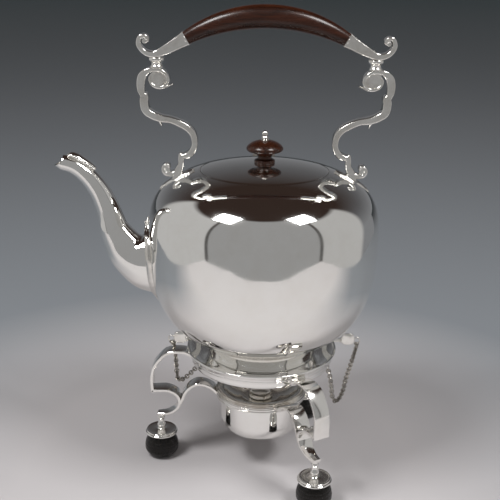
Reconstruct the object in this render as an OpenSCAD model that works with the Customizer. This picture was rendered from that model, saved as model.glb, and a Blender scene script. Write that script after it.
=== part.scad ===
// Spirit kettle on a three-legged strap stand, with a lift-out burner.
// Millimetres, +Z up, floor at Z = 0, the spout points to -X. Pieces are drawn
// round the kettle's axis, which stands axis_x from the middle of the whole object, and
// from a datum that lies base_z above the floor. Heights below are above that datum.

/* [Kettle bowl] */
// Largest radius of the bowl
bowl_r = 84.3; // [80:0.1:88]
// Height of the bowl's widest point
bowl_mid_z = 173; // [170:0.5:176]
// Rise of the shoulder's curve above the widest point
shoulder_h = 60; // [58:0.5:62]
// Depth of the belly's curve below the widest point
belly_h = 78; // [77:0.5:79]
// Thickness of the bowl's sheet
bowl_wall = 1.4; // [1:0.1:2]
// Radius of each strainer hole behind the spout
strainer_hole_r = 1.6; // [1:0.1:2.2]
// Spacing of the strainer holes
strainer_pitch = 6; // [5:0.5:7]

/* [Foot collar of the kettle] */
// Outer radius of the collar's wall at its lower edge
collar_r = 40.5; // [39.8:0.1:41.2]
// Thickness of the collar's wall
collar_wall = 1.8; // [1.4:0.1:2.2]
// Height of the collar's lower edge
collar_z = 85.7; // [85.5:0.1:86]
// Height of the reeded moulding that joins the collar to the belly
moulding_h = 2.3; // [1.8:0.1:2.4]

/* [Lid] */
// Radius of the lid
lid_r = 46.2; // [45:0.1:47.5]
// Thickness of the lid
lid_t = 1.3; // [1:0.1:1.8]
// Gap round the lid in its seat
lid_gap = 0.35; // [0.3:0.05:0.6]
// Depth of the locating flange under the lid
lid_flange_h = 4.5; // [3:0.5:6]
// Radius of the hinge's barrel
hinge_r = 1.9; // [1.7:0.1:2.2]
// Radius of the hinge's pin
hinge_pin_r = 0.8; // [0.6:0.1:1]
// Length of the whole hinge
hinge_len = 17; // [14:0.5:20]

/* [Finial] */
// Radius of the wooden cap
finial_cap_r = 13.3; // [12:0.1:14.5]
// Height of the wooden neck below the cap
finial_neck_h = 8; // [7:0.5:9]
// Height of the wooden cap
finial_cap_h = 8.6; // [7.5:0.1:10]
// Height of the silver bud and ball on the cap
finial_tip_h = 7; // [6:0.5:8]

/* [Handle] */
// Height of the grip's centre line at its top
grip_top_z = 335; // [332:0.5:338]
// Half the distance between the ends of the grip
grip_half = 55.4; // [54:0.2:57]
// Radius of the curve that the grip follows
grip_curve_r = 110; // [108:1:114]
// Radius of the wood at the middle of the grip
grip_mid_r = 8.3; // [7.5:0.1:9]
// Radius of the wood at the ends of the grip
grip_end_r = 4.8; // [4.5:0.1:5.2]
// Half the depth of the handle's cast arms
arm_depth = 4.6; // [4:0.1:5.2]
// Distance from the axis to the spools under the sockets
spool_x = 76.2; // [75.5:0.1:77]

/* [Spout] */
// Thickness of the spout's wall
spout_wall = 1.2; // [1:0.1:1.5]
// Thickness of the plate round the spout's root
plate_t = 1.6; // [1.2:0.1:2.2]

/* [Stand ring] */
// Radius of the ring's lip
ring_r = 57; // [56.5:0.1:57.5]
// Radius of the opening inside the ring
ring_bore_r = 37.8; // [37:0.1:38.2]
// Height of the flat seat that carries the kettle
seat_z = 85.6; // [85.2:0.1:85.6]
// Height of the ring's lip
ring_top_z = 90.2; // [89.5:0.1:90.4]
// Height of the ring's lower edge
ring_bottom_z = 78.8; // [78:0.1:79.2]

/* [Legs and feet] */
// Direction of the left leg, in degrees from +X
leg_start = 180; // [178:1:183]
// Distance from the axis to each foot
foot_r = 78; // [77:0.5:79]
// Width of the leg's strap
strap_w = 12.5; // [11:0.5:13]
// Thickness of the strap
strap_t = 2.3; // [2:0.1:2.6]
// Largest radius of the black bun
bun_r = 13.2; // [12.8:0.1:14]
// Height of the black bun; the whole object rises with it
bun_h = 19.5; // [18.5:0.1:20.5]
// Radius of the foot screws
foot_screw_r = 1.5; // [1.2:0.1:1.8]

/* [Burner] */
// Outer radius of the burner's bowl
burner_r = 31; // [29:0.5:31.2]
// Radius of the burner's rim
burner_rim_r = 34.9; // [34.4:0.1:35.2]
// Height of the holder ring's lower edge
holder_z = 48.8; // [48:0.2:49.4]
// Height of the holder ring
holder_h = 4.6; // [4:0.2:5]
// Height of the underside of the burner's bowl
burner_z = 19.5; // [18:0.5:20.5]
// Thickness of the burner's sheet
burner_wall = 1.1; // [0.9:0.1:1.4]
// Radius of the wick's tube
wick_tube_r = 6; // [5:0.5:7]
// Outer radius of the snuffer cap
snuffer_r = 9.3; // [8.8:0.1:10]

/* [Locking pins and chains] */
// Radius of the pins' shanks
pin_r = 1.5; // [1.2:0.1:1.7]
// Running clearance of the pins, on the radius
pin_clearance = 0.08; // [0.05:0.01:0.1]
// Height of the pins' axis
pin_z = 94.4; // [94:0.1:94.8]
// Gap between the collar and the tip of the left pin, which is pulled out
pin_gap = 2.1; // [1.7:0.1:3]
// How much further out the right pin stands than the left one
right_pin_out = 4; // [0:0.5:6]
// Length of a pin's shank
pin_len = 15; // [14.5:0.1:16]
// Width of a pin's thumb plate
thumb_w = 9.6; // [8:0.2:10]
// Height of a pin's thumb plate
thumb_h = 9.2; // [8:0.2:9.6]
// Radius of a chain link at the middle of its wire
link_r = 1.55; // [1.5:0.05:1.6]
// Radius of the chain's wire
link_wire = 0.42; // [0.38:0.02:0.44]
// Spacing of the chain's links
link_pitch = 2.14; // [2.1:0.02:2.2]

/* [Hidden] */
$fn = 96;

silver = [0.86, 0.85, 0.82];
wood = [0.36, 0.12, 0.07];
ebony = [0.09, 0.07, 0.06];
cotton = [0.93, 0.9, 0.82];

// Exponents of the two curves that make the bowl's outline
shoulder_power = [2, 3.8];
belly_power = [3.2, 2.4];
// Steps along each of the bowl's two curves
bowl_steps = 22;
// Small overlap by which a cut runs past a face
past = 1;

seam_z = shoulder_z(lid_r);
seat_r = lid_r + lid_gap;
hinge_y = seat_r + hinge_r + 0.2;
hinge_z = seam_z + 0.7;
knuckle_len = hinge_len / 3;
hinge_play = 0.3;
flange_r = lid_r - 4;
lid_top_z = bowl_mid_z + shoulder_h;
finial_bolt_r = 1.6;
finial_z = lid_top_z - 0.3;
cap_z = finial_z + finial_neck_h;
tip_z = cap_z + finial_cap_h;
grip_angle = asin(grip_half / grip_curve_r);
grip_centre_z = grip_top_z - grip_curve_r;
grip_end_z = grip_centre_z + grip_curve_r * cos(grip_angle);
socket_r = grip_end_r + 0.3;
tenon_r = grip_end_r - 2.3;
tenon_len = 7;
rivet_len = 2 * socket_r + 0.6;
// Height of the moulding's upper edge, where the belly starts
moulding_z = belly_z(collar_r + 1.6) - moulding_h;
holder_bore_r = burner_r + 0.3;
rim_z = holder_z + holder_h + 0.1;
rim_h = 2.8;
// Clearance between the burner's rim and the straps round it
rim_gap = 0.3;
// The dish of the stand's ring, from the kettle's collar to the lip
ring_w = ring_r - collar_r;
pin_tip = collar_r + pin_gap;
boss_x = collar_r + 0.31 * ring_w;
boss_len = 0.315 * ring_w;
boss_r = 3.1;
thumb_t = 1.4;
thumb_z = ring_top_z + 0.6;
leg_angles = [leg_start, leg_start + 120, leg_start + 240];
strap_end_z = 30.4;
cap_rim_r = bun_r - 0.5;
// The datum: the caps' undersides are foot_z above it, and the buns stand on the floor
foot_z = 13.9;
base_z = bun_h - foot_z;

function shoulder_z(r, d = 0) = bowl_mid_z
  + (shoulder_h + d) * pow(1 - pow(r / (bowl_r + d), shoulder_power[0]), 1 / shoulder_power[1]);
function belly_z(r, d = 0) = bowl_mid_z
  - (belly_h + d) * pow(1 - pow(r / (bowl_r + d), belly_power[0]), 1 / belly_power[1]);
// A quarter of a superellipse from the axis to the widest point
function quarter(r, h, power) = [for (i = [0:bowl_steps])
  let (t = 90 * i / bowl_steps) [r * pow(sin(t), 2 / power[0]), h * pow(cos(t), 2 / power[1])]];
function reversed(p) = [for (i = [len(p) - 1:-1:0]) p[i]];
// The bowl's outline, grown by d
function bowl_outline(d = 0) = concat(
  [for (p = quarter(bowl_r + d, belly_h + d, belly_power)) [p[0], bowl_mid_z - p[1]]],
  [for (i = [bowl_steps - 1:-1:0])
    let (p = quarter(bowl_r + d, shoulder_h + d, shoulder_power)[i]) [p[0], bowl_mid_z + p[1]]]);

// A smooth curve through the points of p, n steps between each two
function at(p, i) = p[max(0, min(len(p) - 1, i))];
function curve_at(p, i, t) = 0.5 * (2 * at(p, i) + (at(p, i + 1) - at(p, i - 1)) * t
  + (2 * at(p, i - 1) - 5 * at(p, i) + 4 * at(p, i + 1) - at(p, i + 2)) * t * t
  + (3 * at(p, i) - at(p, i - 1) - 3 * at(p, i + 1) + at(p, i + 2)) * t * t * t);
function curve(p, n) = concat(
  [for (i = [0:len(p) - 2]) for (k = [0:n - 1]) curve_at(p, i, k / n)], [p[len(p) - 1]]);
function unit(v) = v / norm(v);
function bulge(c, power) = sign(c) * pow(abs(c), power);
// Direction across a path in the XZ plane at point i; those at its ends can be given
function across(p, i, last = undef, first = undef) = (i == len(p) - 1 && last != undef) ? last
  : (i == 0 && first != undef) ? first : let (d = at(p, i + 1) - at(p, i - 1)) unit([-d[1], 0, d[0]]);
// One ring of a swept section: [x, z, half across, half deep], shrunk by d
function ring_at(p, i, m, power, d, last, first) = [for (k = [0:m - 1])
  let (a = 360 * (k + 0.5) / m, n = across(p, i, last, first))
  [p[i][0], 0, p[i][1]] + n * (p[i][2] - d) * bulge(cos(a), power)
  + [0, 1, 0] * (p[i][3] - d) * bulge(sin(a), power)];
function ring_points(p, m, power, d = 0, last = undef, first = undef) =
  [for (i = [0:len(p) - 1]) each ring_at(p, i, m, power, d, last, first)];
function side_faces(n, m, from, flip) = [for (i = [0:n - 2]) for (k = [0:m - 1])
  let (a = from + i * m + k, b = from + i * m + (k + 1) % m) each
  (flip ? [[a, a + m, b], [b, a + m, b + m]] : [[a, b, a + m], [b, b + m, a + m]])];

// A solid swept along [x, z, half across, half deep] points; a low power gives square edges
module swept(p, m = 14, power = 1, last = undef, first = undef) {
  n = len(p);
  polyhedron(ring_points(p, m, power, 0, last, first), concat(side_faces(n, m, 0, false),
    [[for (k = [m - 1:-1:0]) k], [for (k = [0:m - 1]) (n - 1) * m + k]]));
}

// A tube swept the same way, open at both ends
module swept_tube(p, wall, m, last) {
  n = len(p);
  outer = ring_points(p, m, 1, 0, last);
  inner = ring_points(p, m, 1, wall, last);
  o = n * m;
  polyhedron(concat(outer, inner), concat(side_faces(n, m, 0, false), side_faces(n, m, o, true),
    [for (k = [0:m - 1]) let (j = (k + 1) % m) each [[j, k, o + k], [j, o + k, o + j]]],
    [for (k = [0:m - 1]) let (j = (k + 1) % m, e = (n - 1) * m)
      each [[e + k, e + j, o + e + k], [e + j, o + e + j, o + e + k]]]));
}

module turned(outline) rotate_extrude() polygon(outline);
module bowl_solid(d = 0) turned(bowl_outline(d));
module both_sides() {
  children();
  mirror([1, 0, 0]) children();
}
module at_leg(i) rotate(leg_angles[i]) children();

module about_axis() translate([axis_x, 0, base_z]) children();

// ---- Kettle ----

module kettle_bowl() about_axis() color(silver) difference() {
  bowl_solid();
  bowl_solid(-bowl_wall);
  translate([0, 0, bowl_mid_z]) cylinder(r = seat_r, h = shoulder_h + past);
  hinge_notch();
  strainer_holes();
}

notch_start = seat_r - 3;
notch_end = hinge_y + hinge_r + 0.4;
module hinge_notch() translate([-hinge_len / 2 - 0.3, notch_start, seam_z - 2 * bowl_wall - past])
  cube([hinge_len + 0.6, notch_end - notch_start, 8]);

strainer_z = 158;
module strainer_holes() for (row = [-2:2]) for (i = [-2:2])
  translate([-bowl_r - 2, (i + (row % 2) / 2) * strainer_pitch, strainer_z + row * strainer_pitch])
    if (abs(i) + abs(row) < 4) rotate([0, 90, 0])
      cylinder(r = strainer_hole_r, h = 12, $fn = 24);

// Seat ring soldered inside the mouth; the lid rests on its ledge
seat_inner_r = lid_r - 3.4;
ledge_z = seam_z - lid_t - 0.15;
module lid_seat() about_axis() color(silver) intersection() {
  bowl_solid(-bowl_wall);
  difference() {
    turned([[seat_inner_r, ledge_z - 2.4], [seat_r + 4.5, ledge_z - 5], [seat_r + 4.5, ledge_z],
      [seat_inner_r, ledge_z]]);
    translate([0, hinge_y, hinge_z]) rotate([0, 90, 0])
      cylinder(r = hinge_r + 0.15, h = hinge_len + 1, center = true);
  }
}

module foot_collar() about_axis() color(silver) difference() {
  turned([[collar_r - collar_wall, collar_z], [collar_r, collar_z], [collar_r + 0.5, collar_z + 4],
    [collar_r + 1.2, moulding_z + 0.2], [collar_r + 1.2, bowl_mid_z - belly_h + 8],
    [collar_r - collar_wall, bowl_mid_z - belly_h + 8]]);
  bowl_solid();
  collar_moulding_body();
  pin_holes();
}

module pin_holes() both_sides() translate([collar_r - 6, 0, pin_z]) rotate([0, 90, 0])
  cylinder(r = pin_r + pin_clearance, h = 12, $fn = 32);

module collar_moulding_body() {
  h = moulding_h / 3;
  turned(concat([[collar_r + 0.3, moulding_z]],
    [for (i = [0:2]) each [[collar_r + 1.9, moulding_z + i * h + 0.1],
      [collar_r + 2.3, moulding_z + (i + 0.5) * h], [collar_r + 1.9, moulding_z + (i + 1) * h - 0.1]]],
    [[collar_r + 1.9, moulding_z + moulding_h + 1.6], [collar_r + 0.3, moulding_z + moulding_h + 1.6]]));
}
module collar_moulding() about_axis() color(silver) difference() {
  collar_moulding_body();
  bowl_solid();
}

// Spout: [x, z, half across, half deep] along its swan neck
spout_path = [[-76, 156.8, 25, 17.4], [-86, 158.2, 23.6, 16.8], [-93.5, 161, 19.8, 15.4],
  [-100, 165.5, 16, 13.4], [-105.2, 173.2, 12.8, 11.5], [-109.6, 181.8, 10.6, 10],
  [-111.9, 190.5, 9.2, 8.9], [-114.9, 200, 8.2, 8.1], [-119, 209.3, 7.5, 7.4],
  [-125, 218.3, 6.8, 6.9], [-131.8, 225.3, 6.3, 6.6], [-138.6, 229.6, 6, 6.4],
  [-146.4, 231.4, 5.5, 5.6]];
spout_line = curve(spout_path, 3);
spout_sides = 24;
// The mouth is cut along a slope, so that its lower lip reaches out
mouth_across = unit([-9.9, 0, -4.8]);
module spout_tube() swept_tube(spout_line, spout_wall, spout_sides, mouth_across);
// The spout as if it were solid, grown by d
module spout_body(d = 0) swept([for (q = spout_line) [q[0], q[1], q[2] + d, q[3] + d]], spout_sides, 1,
  mouth_across);
module spout() about_axis() color(silver) difference() {
  spout_tube();
  bowl_solid();
}

// Cast scroll over the spout's mouth
hood_path = [[-141.3, 236.6, 1.1, 2.6], [-138.3, 236.9, 2, 4.2], [-134, 235, 2.4, 4.4],
  [-129.6, 232, 2.3, 3.9], [-125.4, 229.2, 1.9, 3], [-121.6, 226.6, 1, 1.6]];
module spout_hood() about_axis() color(silver) difference() {
  swept(curve(hood_path, 3), 14);
  spout_body(0.03);
}

// Shaped plate that the spout's root is soldered to
plate_half = [[0, 192], [2.2, 187], [6, 182.6], [14, 179], [20, 171], [21.6, 160], [19.5, 148],
  [13, 137.5], [6.5, 131.5], [2.4, 127], [0, 119]];
plate_outline = concat(curve(plate_half, 3), [for (p = reversed(curve(plate_half, 3))) [-p[0], p[1]]]);
module plate_layer(scale_by, t) intersection() {
  difference() {
    bowl_solid(t);
    bowl_solid();
  }
  translate([-60, 0, 0]) rotate([90, 0, -90]) linear_extrude(50)
    polygon([for (p = plate_outline) [p[0] * scale_by, strainer_z + (p[1] - strainer_z) * scale_by]]);
}
module spout_plate() about_axis() color(silver) difference() {
  union() {
    plate_layer(1, plate_t);
    plate_layer(0.93, plate_t + 1.5);
  }
  spout_body();
}

// Concealed hinge at the rear of the lid
module hinge_leaves() about_axis() color(silver) difference() {
  union() {
    both_sides() translate([knuckle_len / 2 + hinge_play, hinge_y, hinge_z]) rotate([0, 90, 0])
      cylinder(r = hinge_r, h = knuckle_len - hinge_play, $fn = 40);
    both_sides() translate([knuckle_len / 2 + hinge_play, hinge_y - 0.2, seam_z - bowl_wall - 0.6])
      cube([knuckle_len - hinge_play, notch_end - hinge_y + 0.2, 1.4]);
  }
  rotate([0, 90, 0]) translate([-hinge_z, hinge_y, 0])
    cylinder(r = hinge_pin_r, h = hinge_len + 4, center = true, $fn = 32);
}
module hinge_pin() about_axis() color(silver) translate([0, hinge_y, hinge_z]) rotate([0, 90, 0])
  cylinder(r = hinge_pin_r, h = hinge_len, center = true, $fn = 32);

module lid() about_axis() color(silver) difference() {
  union() {
    intersection() {
      difference() {
        bowl_solid();
        bowl_solid(-lid_t);
      }
      translate([0, 0, bowl_mid_z]) cylinder(r = lid_r, h = shoulder_h + past);
    }
    intersection() {
      bowl_solid(-lid_t / 2);
      translate([0, 0, seam_z - lid_flange_h]) difference() {
        cylinder(r = flange_r, h = shoulder_h);
        translate([0, 0, -past]) cylinder(r = flange_r - 1.2, h = shoulder_h + 2 * past);
      }
    }
  }
  translate([0, 0, bowl_mid_z]) cylinder(r = finial_bolt_r + 0.05, h = shoulder_h + past, $fn = 32);
  translate([0, -lid_r * 0.52, bowl_mid_z]) cylinder(r = 1.1, h = shoulder_h + past, $fn = 24);
}

// Its leaf ends flat against the lid's edge
module lid_knuckle() about_axis() color(silver) translate([-knuckle_len / 2, 0, 0])
  rotate([90, 0, 90]) linear_extrude(knuckle_len) difference() {
    union() {
      translate([hinge_y, hinge_z]) circle(r = hinge_r, $fn = 40);
      translate([lid_r, seam_z - 0.9]) square([hinge_y - lid_r, 2.2]);
    }
    translate([hinge_y, hinge_z]) circle(r = hinge_pin_r + 0.06, $fn = 32);
  }

// ---- Finial ----

module finial_bore() translate([0, 0, bowl_mid_z]) cylinder(r = finial_bolt_r, h = 200, $fn = 32);
module finial_neck() about_axis() color(wood) difference() {
  turned([[0, finial_z], [7.2, finial_z], [7.5, finial_z + 0.9], [7.4, finial_z + 2.2],
    [6.6, finial_z + 2.7], [5.3, finial_z + 3.1], [4.9, finial_z + 4.2], [5.2, finial_z + 5.4],
    [6.6, finial_z + 6.8], [8.6, cap_z - 0.2], [8.8, cap_z], [0, cap_z]]);
  finial_bore();
  bowl_solid();
}
module finial_cap() about_axis() color(wood) difference() {
  r = finial_cap_r;
  h = finial_cap_h;
  turned([[0, cap_z], [r - 4, cap_z], [r - 1.3, cap_z + 0.6], [r - 0.3, cap_z + 1.5],
    [r, cap_z + 2.5], [r - 0.3, cap_z + 3.5], [r - 1.3, cap_z + h * 0.56], [r - 3.4, cap_z + h * 0.75],
    [r - 6.3, cap_z + h * 0.9], [r - 9.6, tip_z], [0, tip_z]]);
  finial_bore();
}
module finial_tip() about_axis() color(silver) union() {
  turned([[0, tip_z], [3.1, tip_z], [3.3, tip_z + 0.5], [2.2, tip_z + 1.2], [2.7, tip_z + 2.2],
    [2, tip_z + 3.1], [1.4, tip_z + finial_tip_h - 3.5], [0, tip_z + finial_tip_h - 3.5]]);
  translate([0, 0, tip_z + finial_tip_h - 2.3]) sphere(r = 2.3, $fn = 32);
  translate([0, 0, lid_top_z - 6]) cylinder(r = finial_bolt_r, h = tip_z - lid_top_z + 6.5, $fn = 32);
}
module finial_nut() about_axis() color(silver) translate([0, 0, lid_top_z - lid_t - 2.65]) difference() {
  cylinder(r = 4, h = 2.6, $fn = 6);
  translate([0, 0, -past]) cylinder(r = finial_bolt_r, h = 6, $fn = 32);
}

// ---- Handle ----

grip_path = [for (i = [-12:12]) let (t = i / 12, a = grip_angle * t)
  [grip_curve_r * sin(a), grip_centre_z + grip_curve_r * cos(a),
   grip_end_r + (grip_mid_r - grip_end_r) * (1 - t * t),
   grip_end_r + (grip_mid_r - grip_end_r) * (1 - t * t)]];
grip_end_across = [sin(grip_angle), 0, cos(grip_angle)];
module grip() about_axis() color(wood) difference() {
  union() {
    swept(grip_path, 24, 1, grip_end_across, [-grip_end_across[0], 0, grip_end_across[2]]);
    both_sides() tenon(tenon_r, tenon_len);
  }
  both_sides() grip_rivet(rivet_len);
}

// The wood's round tenon in the socket, and the rivet across it
module tenon(r, h) translate([-grip_half, 0, grip_end_z]) rotate([0, -90 - grip_angle, 0])
  translate([0, 0, -0.5]) cylinder(r = r, h = h + 0.5, $fn = 32);
module grip_rivet(h) translate([-grip_half, 0, grip_end_z]) rotate([0, -90 - grip_angle, 0])
  translate([0, 0, tenon_len * 0.6]) rotate([90, 0, 0]) cylinder(r = 0.9, h = h, center = true, $fn = 24);
module grip_rivets() about_axis() color(silver) both_sides() grip_rivet(rivet_len);

// Cast scroll with the socket that takes the end of the grip
socket_path = [[-grip_half, grip_end_z, socket_r, socket_r],
  [-grip_half - 5 * cos(grip_angle), grip_end_z - 5 * sin(grip_angle), 4.4, 5],
  [-68, 312.9, 3.5, 5], [-75.6, 309.3, 2.5, arm_depth], [-81.2, 309.1, 2, arm_depth],
  [-85.8, 311.6, 1.75, arm_depth], [-88.2, 316, 1.7, arm_depth], [-87.2, 320.4, 1.5, 4.3],
  [-84, 321.2, 1.4, 4.2], [-82, 318.8, 1.2, 4], [-83.4, 317, 1, 3.8]];
module socket_scroll() difference() {
  union() {
    swept(curve(socket_path, 3), 12, arm_flat);
    translate([-84.2, 0, 317.8]) rotate([90, 0, 0])
      cylinder(r = 1.6, h = 2 * arm_depth - 1, center = true, $fn = 24);
  }
  tenon(tenon_r + 0.05, tenon_len + 0.2);
  grip_rivet(rivet_len);
  spool();
}
module socket_left() about_axis() color(silver) socket_scroll();
module socket_right() about_axis() color(silver) mirror([1, 0, 0]) socket_scroll();

spool_z = 299.4;
spool_h = 7.3;
module spool() translate([-spool_x, 0, 0]) turned([[0, spool_z], [4.5, spool_z], [4.7, spool_z + 0.8],
  [4.3, spool_z + 1.6], [3.8, spool_z + 2.2], [3.7, spool_z + 3.2], [4.2, spool_z + 4.2],
  [5.2, spool_z + 4.9], [5.6, spool_z + 5.8], [5.4, spool_z + spool_h], [0, spool_z + spool_h]]);
module spool_left() about_axis() color(silver) spool();
module spool_right() about_axis() color(silver) mirror([1, 0, 0]) spool();

// Cast C scroll and S scroll between the spool and the foot on the shoulder
arm_path = [[-81.1, 293.4, 0.9, 3.8], [-80.9, 290.6, 1, 4.2], [-79, 287.8, 1.1, arm_depth],
  [-75.5, 286.2, 1.2, arm_depth], [-71.8, 286.5, 1.2, arm_depth], [-69.1, 288.7, 1.1, arm_depth],
  [-68.2, 292.1, 1.1, arm_depth], [-70.1, 295.7, 1.2, arm_depth], [-73.4, 297.9, 1.3, arm_depth],
  [-77.6, 298.3, 1.3, arm_depth], [-81.2, 298, 1.7, arm_depth], [-84.2, 296.2, 2.4, arm_depth],
  [-86.5, 293.2, 2.9, arm_depth], [-87.4, 288.4, 2.8, arm_depth], [-87.2, 284, 2.5, arm_depth],
  [-86.4, 281.6, 2.2, arm_depth], [-85, 279.3, 2.8, arm_depth], [-85.4, 276.3, 2.9, arm_depth],
  [-84.2, 270, 2.8, arm_depth], [-79.5, 266.4, 2.6, arm_depth], [-73.3, 264.2, 2.4, arm_depth],
  [-66.9, 263.3, 2.1, arm_depth], [-60.4, 260.8, 2.3, arm_depth], [-54.8, 257.6, 2.3, arm_depth],
  [-51.1, 253, 2.2, arm_depth], [-49.9, 247, 2.05, arm_depth], [-51, 242.6, 2.1, arm_depth],
  [-54, 238.6, 2.2, arm_depth], [-58.6, 237.2, 1.6, arm_depth]];
arm_line = curve(arm_path, 2);
arm_sides = 12;
// A low power leaves the arms' faces flat, as a file does
arm_flat = 0.35;
// The origin is under the middle of the object's box, so the axis stands aside by axis_x
function reach(points) = max([for (q = points) -q[0]]);
axis_x = (reach(ring_points(spout_line, spout_sides, 1, 0, mouth_across))
  - reach(ring_points(arm_line, arm_sides, arm_flat))) / 2;
module thorn(from, to, r) hull() {
  translate([from[0], 0, from[1]]) rotate([90, 0, 0]) cylinder(r = r, h = 6, center = true, $fn = 16);
  translate([to[0], 0, to[1]]) rotate([90, 0, 0]) cylinder(r = 0.5, h = 3, center = true, $fn = 16);
}
module arm() difference() {
  arm_body();
  spool();
  handle_foot();
}
volute = [-75.3, 291.6];
module arm_body() union() {
  swept(arm_line, arm_sides, arm_flat);
  translate([volute[0], 0, volute[1]]) rotate([90, 0, 0]) {
    cylinder(r = 4.8, h = 2 * arm_depth - 1, center = true, $fn = 40);
    cylinder(r = 6.4, h = 2 * arm_depth - 3, center = true, $fn = 40);
  }
  thorn([-70.8, 286.2], [-64.9, 288.2], 1.3);
  thorn([-75.6, 263.6], [-73.4, 258.8], 1.5);
}
module arm_left() about_axis() color(silver) arm();
module arm_right() about_axis() color(silver) mirror([1, 0, 0]) arm();

// Foot of the handle: a leaf laid on the shoulder, a small scroll and the trunk
foot_scroll = [[-62.5, 225.2, 2, 4], [-66.5, 224.2, 1.7, 4.2], [-70.6, 224.4, 1.5, 4.3],
  [-72.6, 227, 1.4, 4.3], [-71.8, 230, 1.3, 4.1], [-69.4, 230.6, 1.2, 3.9], [-68.2, 228.8, 1, 3.7]];
leaf_half = [[-76, 0], [-72, 3.4], [-67, 5.2], [-63.5, 9.4], [-60, 6.6], [-55, 6.2], [-50.5, 0]];
trunk_path = [[-60.6, 239.2, 0.9, 3.4], [-59.9, 236.4, 1.9, 4.2], [-60.1, 230.8, 2.1, 4.2],
  [-61.8, 226.8, 2.8, 4.3], [-62.4, 221, 3.8, 4.6]];
module handle_foot() difference() {
  union() {
    intersection() {
      difference() {
        bowl_solid(1.5);
        bowl_solid();
      }
      translate([0, 0, bowl_mid_z]) linear_extrude(80)
        polygon(concat(curve(leaf_half, 3), [for (p = reversed(curve(leaf_half, 3))) [p[0], -p[1]]]));
    }
    swept(curve(foot_scroll, 3), 12, 0.5);
    translate([-70.2, 0, 227.4]) rotate([90, 0, 0]) cylinder(r = 2.3, h = 7.4, center = true, $fn = 24);
    swept(curve(trunk_path, 3), 12, 0.5, [1, 0, 0]);
  }
  bowl_solid();
}
module handle_foot_left() about_axis() color(silver) handle_foot();
module handle_foot_right() about_axis() color(silver) mirror([1, 0, 0]) handle_foot();

// ---- Stand ----

module stand_ring() about_axis() color(silver) stand_ring_body();
module stand_ring_body() turned([[ring_bore_r, seat_z - 2.6], [ring_bore_r, seat_z],
  [collar_r + 1.2, seat_z], [collar_r + 0.42 * ring_w, seat_z + 0.5], [collar_r + 0.73 * ring_w, seat_z + 1.8],
  [ring_r - 2.2, ring_top_z - 1.5], [ring_r - 1.6, ring_top_z - 0.3], [ring_r - 0.9, ring_top_z],
  [ring_r - 0.2, ring_top_z - 0.3], [ring_r, ring_top_z - 1], [ring_r - 0.5, ring_top_z - 2],
  [ring_r - 1.8, ring_top_z - 3.4], [ring_r - 2.5, ring_top_z - 5], [ring_r - 2.3, ring_top_z - 5.6],
  [ring_r - 2.9, ring_top_z - 6.2], [ring_r - 3.3, ring_bottom_z + 3.4],
  [ring_r - 3.2, ring_bottom_z + 2.4], [ring_r - 3.6, ring_bottom_z + 0.9],
  [ring_r - 4.3, ring_bottom_z], [ring_r - 0.36 * ring_w, ring_bottom_z],
  [ring_r - 0.45 * ring_w, ring_bottom_z + 2], [collar_r + 0.3 * ring_w, seat_z - 3.2]]);

module pin_boss() difference() {
  union() {
    translate([boss_x, 0, pin_z]) rotate([0, 90, 0]) turned([[0, 0], [boss_r - 0.3, 0], [boss_r, 0.6],
      [boss_r - 0.7, 1.4], [boss_r - 0.7, boss_len - 1.4], [boss_r, boss_len - 0.6],
      [boss_r - 0.3, boss_len], [0, boss_len]]);
    translate([boss_x + 0.9, -2, seat_z]) cube([boss_len - 1.8, 4, pin_z - seat_z]);
  }
  translate([boss_x - past, 0, pin_z]) rotate([0, 90, 0])
    cylinder(r = pin_r + pin_clearance, h = boss_len + 2 * past, $fn = 32);
  stand_ring_body();
}
module pin_boss_right() about_axis() color(silver) pin_boss();
module pin_boss_left() about_axis() color(silver) mirror([1, 0, 0]) pin_boss();

loop_r = 2.3;
loop_wire = 0.45;
loop_x = pin_tip + pin_len + thumb_w + loop_r - 0.5;
// One pin along +X with its tip at x; the thumb plate stands upright
module lock_pin(x) union() {
  translate([x, 0, pin_z]) rotate([0, 90, 0]) turned([[0, 0], [pin_r - 0.4, 0], [pin_r, 1],
    [pin_r, pin_len - 1.6], [pin_r + 0.8, pin_len - 1.2], [pin_r + 0.8, pin_len], [0, pin_len]]);
  translate([x + pin_len - 0.2, thumb_t / 2, thumb_z]) rotate([90, 0, 0]) linear_extrude(thumb_t)
    polygon(thumb_outline);
  translate([x - pin_tip + loop_x, 0, pin_z]) rotate([90, 0, 0])
    rotate_extrude($fn = 32) translate([loop_r, 0]) circle(r = loop_wire, $fn = 20);
}
thumb_outline = [for (i = [0:35]) let (a = 10 * i)
  [thumb_w / 2 * (1 + bulge(cos(a), 0.6)), thumb_h / 2 * (1 + bulge(sin(a), 0.6))]];
module pin_left() about_axis() color(silver) mirror([1, 0, 0]) lock_pin(pin_tip);
module pin_right() about_axis() color(silver) lock_pin(pin_tip + right_pin_out);

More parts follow.
